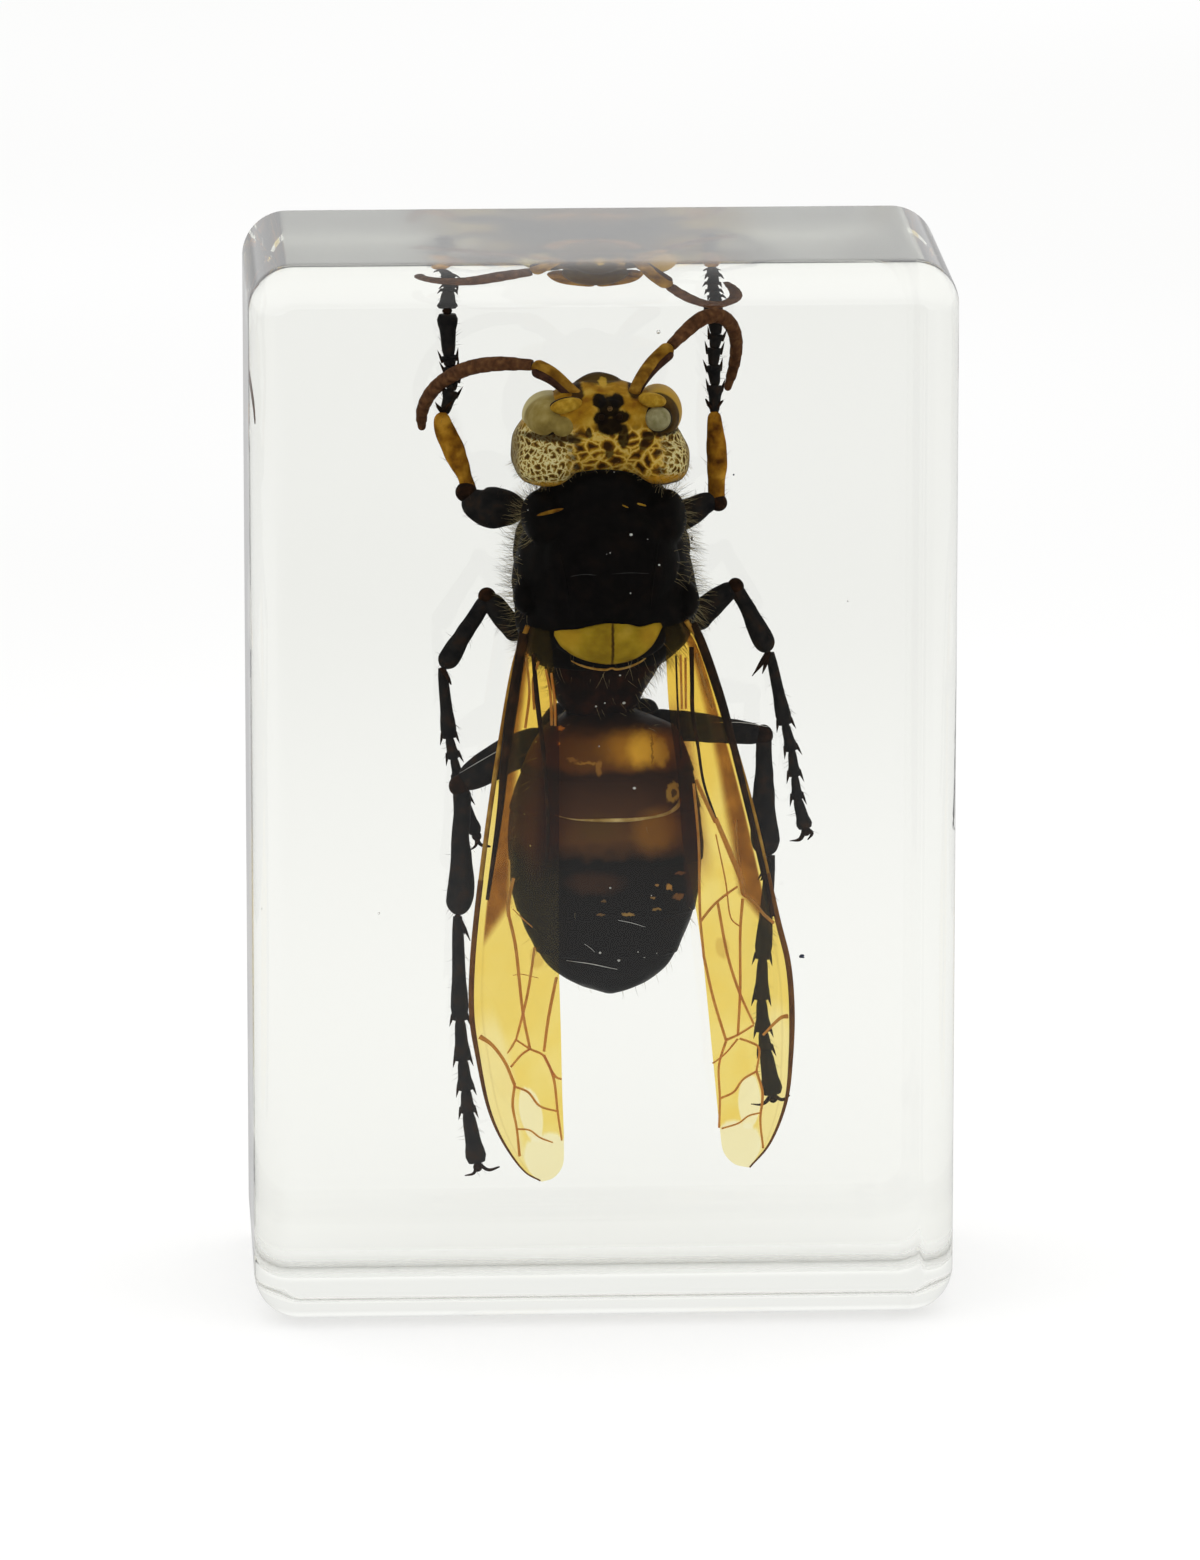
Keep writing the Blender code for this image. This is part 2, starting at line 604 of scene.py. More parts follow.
def ramp_over(tree, value, low, high):
    """0 at low and 1 at high, smoothly."""
    return add(
        tree, "ShaderNodeMapRange", {"Value": value, "From Min": low, "From Max": high},
        interpolation_type="SMOOTHSTEP",
    )


def dry_skin(tree, tone, relief, strength, depth, roughness=0.5, glow=0.0):
    """Dried cuticle: matt in resin, with relief from a height. glow lets light through from behind."""
    dents = add(tree, "ShaderNodeBump", {"Height": relief, "Strength": strength, "Distance": depth * MM})
    surface = add(
        tree, "ShaderNodeBsdfPrincipled",
        {"Base Color": tone, "Roughness": roughness, "IOR": CUTICLE_IN_RESIN_IOR, "Normal": dents},
    )
    if glow:
        lit = add(tree, "ShaderNodeBsdfTranslucent", {"Color": tone})
        surface = add(tree, "ShaderNodeMixShader", {0: glow, 1: surface, 2: lit})
    finish(tree, surface)


def clear_resin():
    """Clear polyester resin, cast and polished: bends light like glass, a little yellow in depth.
    The top, where it was poured, is polished less finely and blurs what is seen through it, and
    the sanded edge round the back is dull."""
    material, tree = new_material("clear_cast_resin")
    axes = add(tree, "ShaderNodeSeparateXYZ", {"Vector": in_mm(tree)}).outputs
    depth_in = axes["Y"]
    poured_side = ramp_over(tree, axes["Z"], HIGH[2] - 0.05, HIGH[2] - 0.02)
    round_start = ramp_over(tree, depth_in, HIGH[1] - BACK_RADIUS, HIGH[1] - BACK_RADIUS + 0.1)
    round_end = ramp_over(tree, depth_in, HIGH[1] - 0.02, HIGH[1] - 0.06)
    sanded = add(tree, "ShaderNodeMath", {0: round_start, 1: round_end}, operation="MULTIPLY")
    poured_dull = add(tree, "ShaderNodeMath", {0: poured_side, 1: POURED_ROUGHNESS}, operation="MULTIPLY")
    sanded_dull = add(tree, "ShaderNodeMath", {0: sanded, 1: SANDED_ROUGHNESS}, operation="MULTIPLY")
    rough = add(tree, "ShaderNodeMath", {0: poured_dull, 1: sanded_dull}, operation="MAXIMUM")
    surface = add(
        tree, "ShaderNodeBsdfPrincipled",
        {"Base Color": (1, 1, 1, 1), "Roughness": rough, "IOR": RESIN_IOR, "Transmission Weight": 1},
    )
    depth = add(tree, "ShaderNodeVolumeAbsorption", {"Color": RESIN_TINT, "Density": RESIN_DENSITY})
    finish(tree, surface, depth)
    return material


def trapped_air():
    """A bubble of air in the resin: its skin bends light the other way, so it has a dark rim."""
    material, tree = new_material("trapped_air_bubble")
    surface = add(
        tree, "ShaderNodeBsdfPrincipled",
        {"Base Color": (1, 1, 1, 1), "Roughness": 0, "IOR": 1 / RESIN_IOR, "Transmission Weight": 1},
    )
    finish(tree, surface)
    return material


def cuticle(name, codes, grain, pit=0.12, bump=0.25, marks=(), glow=0.0):
    """Dried insect skin with fine pits. codes are its dark, usual and light colour, grain is
    its mottling in mm, and marks are painted over it."""
    material, tree = new_material(name)
    place_mm = in_mm(tree)
    tone = cloudy(tree, place_mm, grain, [(0.3, codes[0]), (0.52, codes[1]), (0.72, codes[2])])
    tone = painted(tree, tone, wobbled(tree, place_mm, 0.4, 0.08), marks)
    pits = add(tree, "ShaderNodeTexVoronoi", {"Vector": place_mm, "Scale": 1 / pit})
    dry_skin(tree, tone, pits.outputs["Distance"], bump, 0.03, glow=glow)
    return material


def lacework(tree, where, width, stops):
    """A net of loops about width mm across, coloured by the distance from its strands."""
    loops = add(
        tree, "ShaderNodeTexVoronoi", {"Vector": where, "Scale": 1 / width}, feature="DISTANCE_TO_EDGE",
    ).outputs["Distance"]
    return loops, add(tree, "ShaderNodeValToRGB", {"Fac": loops}, stops=stops)


def head_cuticle():
    """Head skin: orange-gold in front, and behind it pale fat seen through clear skin as a
    lacework, cream at the left cheek and gold at the right."""
    material, tree = new_material("golden_head_cuticle")
    place_mm = in_mm(tree)
    axes = add(tree, "ShaderNodeSeparateXYZ", {"Vector": place_mm}).outputs
    gold = [(0, "#F4D470"), (0.07, "#E4B23C"), (0.15, "#9C6A18"), (0.3, "#40260A")]
    loops, gold_lace = lacework(tree, wobbled(tree, place_mm, 0.45, 0.2), 0.7, gold)
    cream = [(0, "#FBF2C0"), (0.07, "#ECD888"), (0.15, "#A88036"), (0.3, "#54390F")]
    cream_lace = lacework(tree, wobbled(tree, place_mm, 0.3, 0.24), 0.42, cream)[1]
    left = ramp_over(tree, axes["X"], -1.2, -2.4)
    right = ramp_over(tree, axes["X"], 3, 4)
    cheek = add(tree, "ShaderNodeMath", {0: left, 1: right}, operation="MAXIMUM")
    tone = blend(tree, cheek, gold_lace, cream_lace)
    face = cloudy(tree, place_mm, 0.8, [(0.3, "#966414"), (0.5, "#BC8A20"), (0.7, "#D8AE44")])
    tone = blend(tree, ramp_over(tree, axes["Z"], 50.7, 51.5), tone, face)
    marks = [
        ((-5.3, 0, 49.6), (0.7, 9, 2.2), 0.6, 0.75, "#8A744A"),
        ((5.3, 0, 49.4), (0.45, 9, 1.6), 0.6, 0.7, "#8A6A38"),
        ((-2.6, -2, 47.45), (2.4, 6, 0.5), 0.7, 0.9, "#E8AC2C"),
        ((3.6, -2, 47.8), (1.7, 6, 0.55), 0.7, 0.85, "#E0A024"),
        ((4.4, 0, 47.2), (1.3, 6, 0.36), 0.3, 0.9, "#2A1606"),
        # Painted shadow: the next four marks are dark bands under the compound eyes, where they overhang
        # the head.
        ((-2.75, -2, 50.6), (1.75, 4, 0.3), 0.5, 0.9, "#3A250C"),
        ((-1.55, -2, 50.4), (0.4, 4, 0.2), 0.5, 0.9, "#2C1A08"),
        ((3.65, -2, 50.75), (1, 4, 0.24), 0.5, 0.9, "#2A1806"),
        ((2.6, -2, 50.55), (0.36, 4, 0.3), 0.4, 0.9, "#2A1806"),
        ((-0.75, -3, 50.85), (0.17, 4, 0.34), 0.4, 0.9, "#2C1A08"),
        ((1.2, -3, 50.65), (0.3, 4, 0.75), 0.4, 0.92, "#1E1006"),
        ((0.4, -3, 49.7), (0.28, 4, 0.4), 0.5, 0.85, "#3A240C"),
        ((2.35, -3, 50.1), (0.26, 4, 0.34), 0.4, 0.85, "#3A220C"),
        ((-0.05, 1, 54.15), (2, 5, 0.86), 0.16, 0.95, "#57431C"),
        ((0.1, -1, 53.5), (0.24, 3, 0.2), 0.5, 0.95, "#E0B440"),
        ((-1.75, -1, 53.4), (0.6, 3.5, 0.5), 0.4, 0.92, "#2A180C"),
        ((-1.35, -1, 52.9), (0.36, 3.5, 0.46), 0.4, 0.92, "#2A180C"),
        ((1.9, -1, 53.15), (0.4, 3.5, 0.55), 0.4, 0.92, "#2A180C"),
        ((0.36, -3, 52.3), (0.62, 4, 0.6), 0.4, 0.98, "#0C0603"),
        ((-0.17, -3, 52.62), (0.42, 4, 0.36), 0.4, 0.98, "#0C0603"),
        ((0.85, -3, 52.62), (0.42, 4, 0.36), 0.4, 0.98, "#0C0603"),
        ((-0.08, -3, 51.72), (0.44, 4, 0.4), 0.4, 0.98, "#120904"),
        ((1.05, -3, 51.8), (0.5, 4, 0.36), 0.4, 0.98, "#120904"),
        ((0.42, -3, 51.25), (0.78, 4, 0.52), 0.4, 0.98, "#120904"),
        ((0, 5.6, 51), (9, 6, 9), 0.2, 0.85, "#3E2A10"),
    ]
    tone = painted(tree, tone, wobbled(tree, place_mm, 0.35, 0.13), marks)
    dry_skin(tree, tone, loops, 0.3, 0.05, 0.45, glow=0.25)
    return material


def eye_facets(name, codes, rim, centre, radii):
    """A dried compound eye: fine facets, and a clear edge that catches light on its outside."""
    material, tree = new_material(name)
    place_mm = in_mm(tree)
    tone = cloudy(tree, place_mm, 0.9, [(0.3, codes[0]), (0.5, codes[1]), (0.7, codes[2])])
    inside = patch(tree, place_mm, centre, radii, 0.06)
    tone = blend(tree, inside, rim, tone)
    # Real facets are about 0.03 mm wide, too fine to show, so they are drawn at 0.07 mm.
    facets = add(tree, "ShaderNodeTexVoronoi", {"Vector": place_mm, "Scale": 1 / 0.07})
    dry_skin(tree, tone, facets.outputs["Distance"], 0.3, 0.02, 0.4, glow=0.15)
    return material


def gaster_cuticle():
    """Rear-body skin: amber first ring where light comes through, brown second and third rings,
    then near black with a ragged edge and amber flecks."""
    material, tree = new_material("banded_gaster_cuticle")
    place_mm = in_mm(tree)
    height = add(tree, "ShaderNodeSeparateXYZ", {"Vector": wobbled(tree, place_mm, 0.9, 0.5)}).outputs["Z"]
    along = add(tree, "ShaderNodeMapRange", {"Value": height, "From Min": 34.4, "From Max": 17.6})
    tone = add(
        tree, "ShaderNodeValToRGB", {"Fac": along},
        stops=[
            (0, "#0E0805"), (0.04, "#2A1607"), (0.09, "#5A3410"), (0.17, "#5A3410"), (0.2, "#2C190D"),
            (0.25, "#3A2213"), (0.34, "#4E3019"), (0.42, "#5E3C1A"), (0.455, "#4A2E15"), (0.5, "#0C0805"),
            (1, "#060505"),
        ],
    ).outputs["Color"]
    # The first three marks are painted glow of the light that comes through the first ring.
    broad = [
        ((2, -3, 32.5), (1.9, 3, 0.95), 1.1, 0.8, "#B87A1E"),
        ((2.3, -3, 32.45), (0.75, 3, 0.8), 1.2, 0.95, "#E8AC34"),
        ((3.4, -3, 32.2), (0.45, 3, 0.75), 0.6, 0.7, "#D09A34"),
        ((-1.2, -3, 32.2), (1.6, 3, 0.8), 1.2, 0.6, "#6E4414"),
        ((3.1, -3, 27.75), (1.3, 3, 1.15), 0.9, 0.85, "#8A5A1C"),
        ((-0.2, -3, 28), (1.2, 3, 0.7), 1.2, 0.6, "#5A4016"),
        ((-0.4, -3, 24.75), (1.5, 3, 0.65), 0.9, 0.5, "#4A2C16"),
        ((-3.9, -3, 28.5), (1, 4, 3.2), 0.8, 0.6, "#4A2414"),
        ((5.3, -2, 26), (0.5, 4, 3.2), 0.8, 0.6, "#4A2A14"),
    ]
    tone = painted(tree, tone, wobbled(tree, place_mm, 0.5, 0.22), broad)
    fine = [
        ((2.85, -3, 32.4), (0.05, 3, 0.95), 0.6, 0.6, "#6A420E"),
        ((-2.3, -3, 33.5), (0.3, 3, 0.12), 0.5, 0.9, "#D8801C"),
        ((-2.45, -3, 32.7), (0.1, 3, 0.14), 0.5, 0.9, "#E08A20"),
        ((-0.9, -3, 31.75), (0.6, 3, 0.09), 0.7, 0.7, "#B07C30"),
        ((-0.2, -3, 31.5), (0.14, 3, 0.4), 0.7, 0.6, "#A87430"),
        ((-1.7, -3, 31.9), (0.3, 3, 0.1), 0.7, 0.6, "#A87430"),
        ((4.05, -3, 29.85), (0.4, 3, 0.55), 0.4, 0.8, "#C09A48"),
        ((4.1, -3, 29.8), (0.16, 3, 0.24), 0.4, 0.85, "#2C1A0A"),
        ((3.85, -3, 24.35), (0.2, 3, 0.2), 0.4, 0.95, "#B98A44"),
        ((3.1, -3, 24.5), (0.14, 3, 0.09), 0.4, 0.9, "#A87C40"),
        ((2.9, -3, 23.8), (0.18, 3, 0.09), 0.4, 0.85, "#94703C"),
        ((4.4, -3, 23.7), (0.36, 3, 0.2), 0.4, 0.8, "#8A6034"),
        ((4.5, -3, 25.1), (0.3, 3, 0.12), 0.4, 0.7, "#7A4E2C"),
        ((1.5, -3, 22.85), (0.35, 3, 0.12), 0.4, 0.9, "#A07C40"),
        ((3.1, -3, 23.1), (0.25, 3, 0.1), 0.4, 0.85, "#96743C"),
        ((-0.1, -3, 22.9), (0.26, 3, 0.1), 0.4, 0.75, "#7A5A30"),
        ((0.1, -3, 23.7), (0.2, 3, 0.08), 0.4, 0.7, "#7A5A30"),
    ]
    tone = painted(tree, tone, wobbled(tree, place_mm, 0.28, 0.2), fine)
    # Fine punctures about 0.1 mm apart.
    pits = add(tree, "ShaderNodeTexVoronoi", {"Vector": place_mm, "Scale": 1 / 0.12})
    dry_skin(tree, tone, pits.outputs["Distance"], 0.2, 0.02, 0.42)
    return material


def wing_film():
    """Wing membrane: a clear amber film, brown in the long cell behind the leading edge, with
    pale places near the tip. U runs across the wing from its leading edge, V along it."""
    material, tree = new_material("amber_wing_membrane")
    spot = add(tree, "ShaderNodeUVMap", uv_map="UVMap")
    place_mm = in_mm(tree)
    axes = add(tree, "ShaderNodeSeparateXYZ", {"Vector": spot})
    across, along = axes.outputs["X"], axes.outputs["Y"]
    film = cloudy(tree, place_mm, 2.2, [(0.3, "#F8E8A2"), (0.5, "#F9ECAE"), (0.7, "#FAEEB6")], detail=2.0)
    film = blend(tree, ramp_over(tree, along, 0.45, 0.1), film, "#F7E292")
    marks = [
        ((0.42, 0.62, 0), (0.6, 0.12, 1), 0.5, 0.5, "#F6E6A0"),
        ((0.18, 0.84, 0), (0.22, 0.14, 1), 0.5, 0.7, "#FBF3CE"),
        ((0.56, 0.88, 0), (0.16, 0.05, 1), 0.15, 0.8, "#FCF8E2"),
        ((0.75, 1, 0), (0.6, 0.085, 1), 0.12, 0.85, "#FCF8E2"),
        ((0.75, 0.59, 0), (0.08, 0.02, 1), 0.5, 0.3, "#D8B870"),
    ]
    film = painted(tree, film, wobbled(tree, spot, 0.2, 0.02), marks)
    # The brown cell widens from the root and is cut off on a slant a little past mid-wing.
    width = add(
        tree, "ShaderNodeMapRange",
        {"Value": along, "From Min": 0.2, "From Max": 0.5, "To Min": 0.32, "To Max": 0.42},
    )
    slant = add(
        tree, "ShaderNodeMapRange",
        {"Value": along, "From Min": 0.47, "From Max": 0.575, "To Min": 0.5, "To Max": 0.1},
    )
    inner_edge = add(tree, "ShaderNodeMath", {0: width, 1: slant}, operation="MINIMUM")
    room = add(tree, "ShaderNodeMath", {0: inner_edge, 1: across}, operation="SUBTRACT")
    cell = ramp_over(tree, room, -0.05, 0.1)
    past_edge = ramp_over(tree, across, 0.1, 0.13)
    brown = add(tree, "ShaderNodeMath", {0: cell, 1: past_edge}, operation="MULTIPLY")
    film = blend(tree, brown, film, cloudy(tree, place_mm, 1.2, [(0.35, "#B28A4C"), (0.65, "#C9A25C")]))
    # Where the film is folded double at the inner edge it is nearly opaque, down to the fourth ring.
    fold = ramp_over(tree, across, 0.56, 0.86)
    fold_end = ramp_over(tree, along, 0.48, 0.38)
    fold_start = ramp_over(tree, along, 0.12, 0.2)
    folded = add(tree, "ShaderNodeMath", {0: fold, 1: fold_end}, operation="MULTIPLY")
    folded = add(tree, "ShaderNodeMath", {0: folded, 1: fold_start}, operation="MULTIPLY")
    film = blend(tree, folded, film, "#CBAA78")
    clear = add(tree, "ShaderNodeBsdfTransparent", {"Color": film})
    solid = add(
        tree, "ShaderNodeBsdfPrincipled",
        {"Base Color": film, "Roughness": 0.5, "IOR": CUTICLE_IN_RESIN_IOR},
    )
    thick = add(tree, "ShaderNodeMath", {0: brown, 1: 0.06, 2: 0.012}, operation="MULTIPLY_ADD")
    surface = add(tree, "ShaderNodeMixShader", {0: thick, 1: clear, 2: solid})
    finish(tree, surface)
    return material


def light_table():
    """A matt white diffusing sheet, lit from below as well as above, and a little stronger
    near the block than far behind it."""
    material, tree = new_material("white_light_table")
    place_mm = in_mm(tree)
    tone = cloudy(tree, place_mm, 180, [(0.3, "#FAFAF9"), (0.7, "#FFFFFF")], detail=1.0)
    away = add(tree, "ShaderNodeSeparateXYZ", {"Vector": place_mm}).outputs["Y"]
    near = ramp_over(tree, away, 230, 20)
    lamp = add(tree, "ShaderNodeMapRange", {"Value": near, "To Min": 0.5, "To Max": 0.6})
    surface = add(
        tree, "ShaderNodeBsdfPrincipled",
        {
            "Base Color": blend(tree, 0.55, tone, "#000000"), "Roughness": 1, "Specular IOR Level": 0,
            "Emission Color": tone, "Emission Strength": lamp,
        },
    )
    finish(tree, surface)
    return material


RESIN = clear_resin()
AIR = trapped_air()
BLACK = cuticle("black_thorax_cuticle", ("#040302", "#080605", "#120B07"), 0.9)
MAROON = cuticle("maroon_propodeum_cuticle", ("#0C0604", "#1C0E08", "#32190C"), 0.9)
LEG_BLACK = cuticle("black_leg_cuticle", ("#141416", "#22201F", "#35261C"), 0.7)
KNEE_BROWN = cuticle("brown_knee_cuticle", ("#140B06", "#26160C", "#3C2414"), 0.5)
AMBER = cuticle("amber_shin_cuticle", ("#5E360C", "#A9731B", "#D49C34"), 0.8, bump=0.15, glow=0.2)
SCAPE = cuticle("amber_scape_cuticle", ("#6A4412", "#94691E", "#B88A34"), 0.6, bump=0.15, glow=0.2)
# Painted shade for the lower side of the scapes.
SCAPE_UNDERSIDE_SHADE = cuticle("dark_scape_cuticle", ("#2C1A14", "#3E261C", "#503426"), 0.5, bump=0.15)
BROWN = cuticle("brown_feeler_cuticle", ("#4A2E1C", "#64422A", "#7E5636"), 0.4, bump=0.15, glow=0.1)
YELLOW = cuticle(
    "yellow_scutellum_cuticle", ("#8A6C12", "#A88A1E", "#BE9C32"), 1.2, bump=0.12,
    marks=[
        ((0.57, -3, 38.8), (0.09, 4, 1.7), 0.9, 0.9, "#3A2408"),
        ((-1.9, -3, 39.2), (0.7, 4, 0.7), 1.2, 0.5, "#C89A28"),
        ((2.7, -3, 39.2), (0.6, 4, 0.7), 1.2, 0.5, "#C89A28"),
    ],
    glow=0.1,
)
GOLD_LINE = cuticle("gold_edge_cuticle", ("#9A6C28", "#BC8E44", "#D0AC66"), 0.5)
PALE_EDGE = cuticle("pale_ring_edge_cuticle", ("#8A6A34", "#B09054", "#CDB274"), 0.7)
OCHRE = cuticle("ochre_eye_notch_cuticle", ("#9A701A", "#BA902A", "#D2AC40"), 0.4, glow=0.15)
EYE_OLIVE = eye_facets(
    "olive_compound_eye", ("#7E6A34", "#9C8748", "#B4A062"), "#D8C88C", (-2.85, 0.3, 51.4), (1.53, 30, 1.4),
)
EYE_DARK = eye_facets(
    "brown_compound_eye", ("#2E1E0C", "#45300F", "#5A4218"), "#CDA038", (3.16, 0.3, 51.5), (1.27, 30, 1.42),
)
EYE_GREY = cuticle("grey_eye_lobe", ("#8A8258", "#A09870", "#B4AC84"), 0.4, pit=0.07, glow=0.15)
# Dark brown used as painted shadow in the rims round the eyes and the left notch, and as the side simple
# eyes' own colour.
RIM_SHADE_AND_OCELLUS = cuticle("dark_eye_rim", ("#120A04", "#241608", "#38240E"), 0.4)
OCELLUS = cuticle("brown_simple_eye", ("#3A2814", "#6A5230", "#8C7650"), 0.15)
HEAD = head_cuticle()
GASTER = gaster_cuticle()
FILM = wing_film()
VEIN = cuticle("brown_wing_vein", ("#F0BC60", "#F8CC78", "#FCD890"), 1, bump=0.0, glow=0.8)
EDGE_VEIN = cuticle("brown_edge_vein", ("#7E5020", "#946228", "#A87438"), 1, bump=0.0, glow=0.5)
DARK_VEIN = cuticle("dark_wing_vein", ("#1A1008", "#2A1A0C", "#442A10"), 1, bump=0.0)
AMBER_VEIN = cuticle("amber_leading_vein", ("#8A5C1C", "#A67A30", "#C09848"), 1, bump=0.0)
DARK_HAIR = cuticle("dark_bristle", ("#2A2018", "#3A2C20", "#4A3A28"), 1, bump=0.0)
PALE_HAIR = cuticle("pale_bristle", ("#94845A", "#B0A074", "#C4B68C"), 1, bump=0.0)
# White for real dust and fibres, and also for the painted highlights along the hind thighs.
DUST_AND_GLEAM = cuticle("white_dust_speck", ("#C8C8C4", "#E0E0DC", "#F2F2F0"), 0.5, bump=0.0)
# Painted sheen for the seams across the back.
SHEEN_LINE = cuticle("grey_suture_edge", ("#30302E", "#444442", "#5A5A56"), 0.5, bump=0.0)
GRIT = cuticle("blue_black_grit", ("#10182A", "#1E2A44", "#34486A"), 0.2, bump=0.0)

# ---- Resin block ----


def block_outline(inset, y):
    """The block's front view, drawn in by inset. A point on each flat, close to its round's
    end, keeps the flat's shading flat."""
    radius = CORNER_RADIUS - inset
    middle = (LOW + HIGH) / 2
    half = (HIGH - LOW) / 2 - CORNER_RADIUS
    steps, guard = 20, 0.05
    points = []
    for quarter, (side_x, side_z) in enumerate(((1, 1), (-1, 1), (-1, -1), (1, -1))):
        centre = np.array([middle[0] + side_x * half[0], middle[2] + side_z * half[2]])
        for step in range(-1, steps + 2):
            angle = math.radians(90 * (quarter + min(max(step, 0), steps) / steps))
            spot = centre + radius * np.array([math.cos(angle), math.sin(angle)])
            if step in (-1, steps + 1):
                way = -1 if step < 0 else 1
                spot = spot + way * guard * np.array([-math.sin(angle), math.cos(angle)])
            points.append((spot[0], y, spot[1]))
    return points


def resin_block():
    """The block, with rounds fine enough to bend light smoothly."""
    steps, guard = 28, 0.05
    stations = [(FRONT_ROUND_IN + guard, LOW[1])]
    for step in range(steps + 1):
        angle = math.radians(90 * step / steps)
        inset = FRONT_ROUND_IN * (1 - math.sin(angle))
        stations.append((inset, LOW[1] + FRONT_ROUND_DEEP * (1 - math.cos(angle))))
    stations.append((0, LOW[1] + FRONT_ROUND_DEEP + guard))
    stations.append((0, HIGH[1] - BACK_RADIUS - guard))
    for step in range(steps + 1):
        angle = math.radians(90 * step / steps)
        inset = BACK_RADIUS * (1 - math.cos(angle))
        stations.append((inset, HIGH[1] - BACK_RADIUS * (1 - math.sin(angle))))
    stations.append((BACK_RADIUS + guard, HIGH[1]))
    work = bmesh.new()
    rings = []
    for inset, y in stations:
        ring = [work.verts.new(np.array(p) * MM) for p in block_outline(inset, y)]
        rings.append(ring)
    for near, far in zip(rings, rings[1:]):
        for i in range(len(near)):
            j = (i + 1) % len(near)
            work.faces.new((near[i], near[j], far[j], far[i]))
    work.faces.new(rings[0])
    work.faces.new(rings[-1])
    bmesh.ops.recalc_face_normals(work, faces=work.faces)
    mesh = bpy.data.meshes.new("clear_resin_block")
    work.to_mesh(mesh)
    work.free()
    mesh.materials.append(RESIN)
    mesh.shade_smooth()
    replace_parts(place(mesh, "clear_resin"), "resin_block")


resin_block()

# ---- Head ----

# Rows of (z, left, right, front, back).
HEAD_EDGES = [
    (47.15, -3.3, 3.9, 1.4, 2.8), (47.35, -4.1, 4.5, 0.2, 4), (47.8, -4.6, 4.9, -1.1, 4.8),
    (48.5, -4.92, 5.1, -2.1, 5.3), (49.3, -5.06, 5.06, -2.8, 5.5), (50.2, -4.95, 4.66, -3.35, 4.6),
    (51.2, -4.5, 4.1, -3.55, 3.6), (52.2, -3.6, 3.5, -3.3, 2.6), (52.9, -2.6, 2.7, -2.4, 1.7),
    (53.3, -1.6, 1.7, -1.3, 1.1), (53.5, -0.7, 0.8, -0.8, 0.6),
]


def head():
    """The head from behind: capsule, compound eyes, notches in them, simple eyes and jaws."""
    capsule = fused(
        "head_capsule",
        [
            trunk(HEAD_EDGES, HEAD, square=2.5), ball((-0.07, 0.5, 52.2), (1.8, 1.7, 1.68), HEAD),
            ball((0.5, -2.3, 51.4), (1.5, 1.5, 1.4), HEAD), ball((-0.05, 4.6, 51.3), (1.9, 1.7, 2), HEAD),
            ball((-3, -0.9, 49), (1.9, 2.4, 1.5), HEAD), ball((3.3, -0.9, 49), (1.7, 2.4, 1.4), HEAD),
        ],
        0.09, 5,
    )
    place(roughened(capsule, 0.9, 0.05, 1), "amber_cuticle")

    left_eye = fused(
        "left_compound_eye",
        [
            ball((-2.93, -0.1, 51.45), (1.53, 3.4, 1.43), EYE_OLIVE, rings=48, sides=72),
            ball((-2.15, -2.75, 51.2), (0.8, 0.9, 0.7), EYE_OLIVE),
        ],
        0.05, 4,
    )
    place(left_eye, "compound_eye")
    # Painted shadow: a slightly larger dark shell behind the left eye shows as a dark crescent along its
    # lower edge, where it meets the cheek.
    rim = ball((-2.75, -0.05, 51.36), (1.66, 3.35, 1.5), RIM_SHADE_AND_OCELLUS, rings=48, sides=72)
    place(mesh_of("left_eye_rim", [rim]), "compound_eye")
    right_eye = [
        ball((3.26, 0.3, 51.62), (1.38, 3.45, 1.53), EYE_DARK, rings=48, sides=72),
        # A painted shadow rim round the grey lobe.
        ball((3.16, -2.5, 51.56), (0.84, 0.92, 0.82), RIM_SHADE_AND_OCELLUS),
        ball((3.16, -2.72, 51.57), (0.76, 0.85, 0.74), EYE_GREY),
    ]
    place(mesh_of("right_compound_eye", right_eye), "compound_eye")

    notches = [
        # A painted shadow rim round the left notch.
        ball((-2.05, -2.55, 52.32), (1, 0.8, 0.5), RIM_SHADE_AND_OCELLUS, turn=12),
        ball((-2.03, -2.68, 52.33), (0.97, 0.8, 0.47), OCHRE, turn=12),
        ball((2.85, -2.62, 52.62), (0.8, 0.8, 0.42), OCHRE, turn=-10),
    ]
    place(mesh_of("eye_notches", notches), "amber_cuticle")

    ocelli = [
        ball((0.42, -3.72, 52.28), (0.15, 0.16, 0.15), OCELLUS, rings=12, sides=16),
        # The side simple eyes take the dark brown of the shadow rims as their own colour.
        ball((-0.05, -3.68, 51.78), (0.19, 0.14, 0.19), RIM_SHADE_AND_OCELLUS, rings=12, sides=16),
        ball((0.95, -3.68, 51.8), (0.19, 0.14, 0.19), RIM_SHADE_AND_OCELLUS, rings=12, sides=16),
    ]
    place(mesh_of("simple_eyes", ocelli), "compound_eye")

    jaws = []
    for side in (-1, 1):
        hinge, elbow, tip = (side * 2.2, 5.4, 50.2), (side * 1.6, 6.4, 51.6), (side * 0.1, 6.7, 52.6)
        jaws.append(limb([(*hinge, 0.8), (*elbow, 0.7), (*tip, 0.25)], AMBER, flat=0.6))
        palp = [(side * 0.8, 5.9, 49.6, 0.2), (side * 1.3, 6.6, 48.9, 0.17), (side * 1.1, 6.9, 48, 0.12)]
        jaws.append(limb(palp, BROWN, count=20, sides=10))
    place(mesh_of("mandibles_and_palps", jaws), "amber_cuticle")
    return capsule


head_mesh = head()

# ---- Feelers ----

SCAPES = {
    "left": [
        (-1, -1.9, 52.5, 0.34), (-1.75, -1.4, 53.1, 0.36), (-2.8, -0.8, 53.95, 0.42),
        (-3.85, -0.25, 54.42, 0.46),
    ],
    "right": [
        (1.75, -1.9, 52.7, 0.34), (2.1, -1.2, 53.4, 0.36), (2.9, 0, 54.35, 0.42), (4.05, 0.8, 55.3, 0.46),
    ],
}
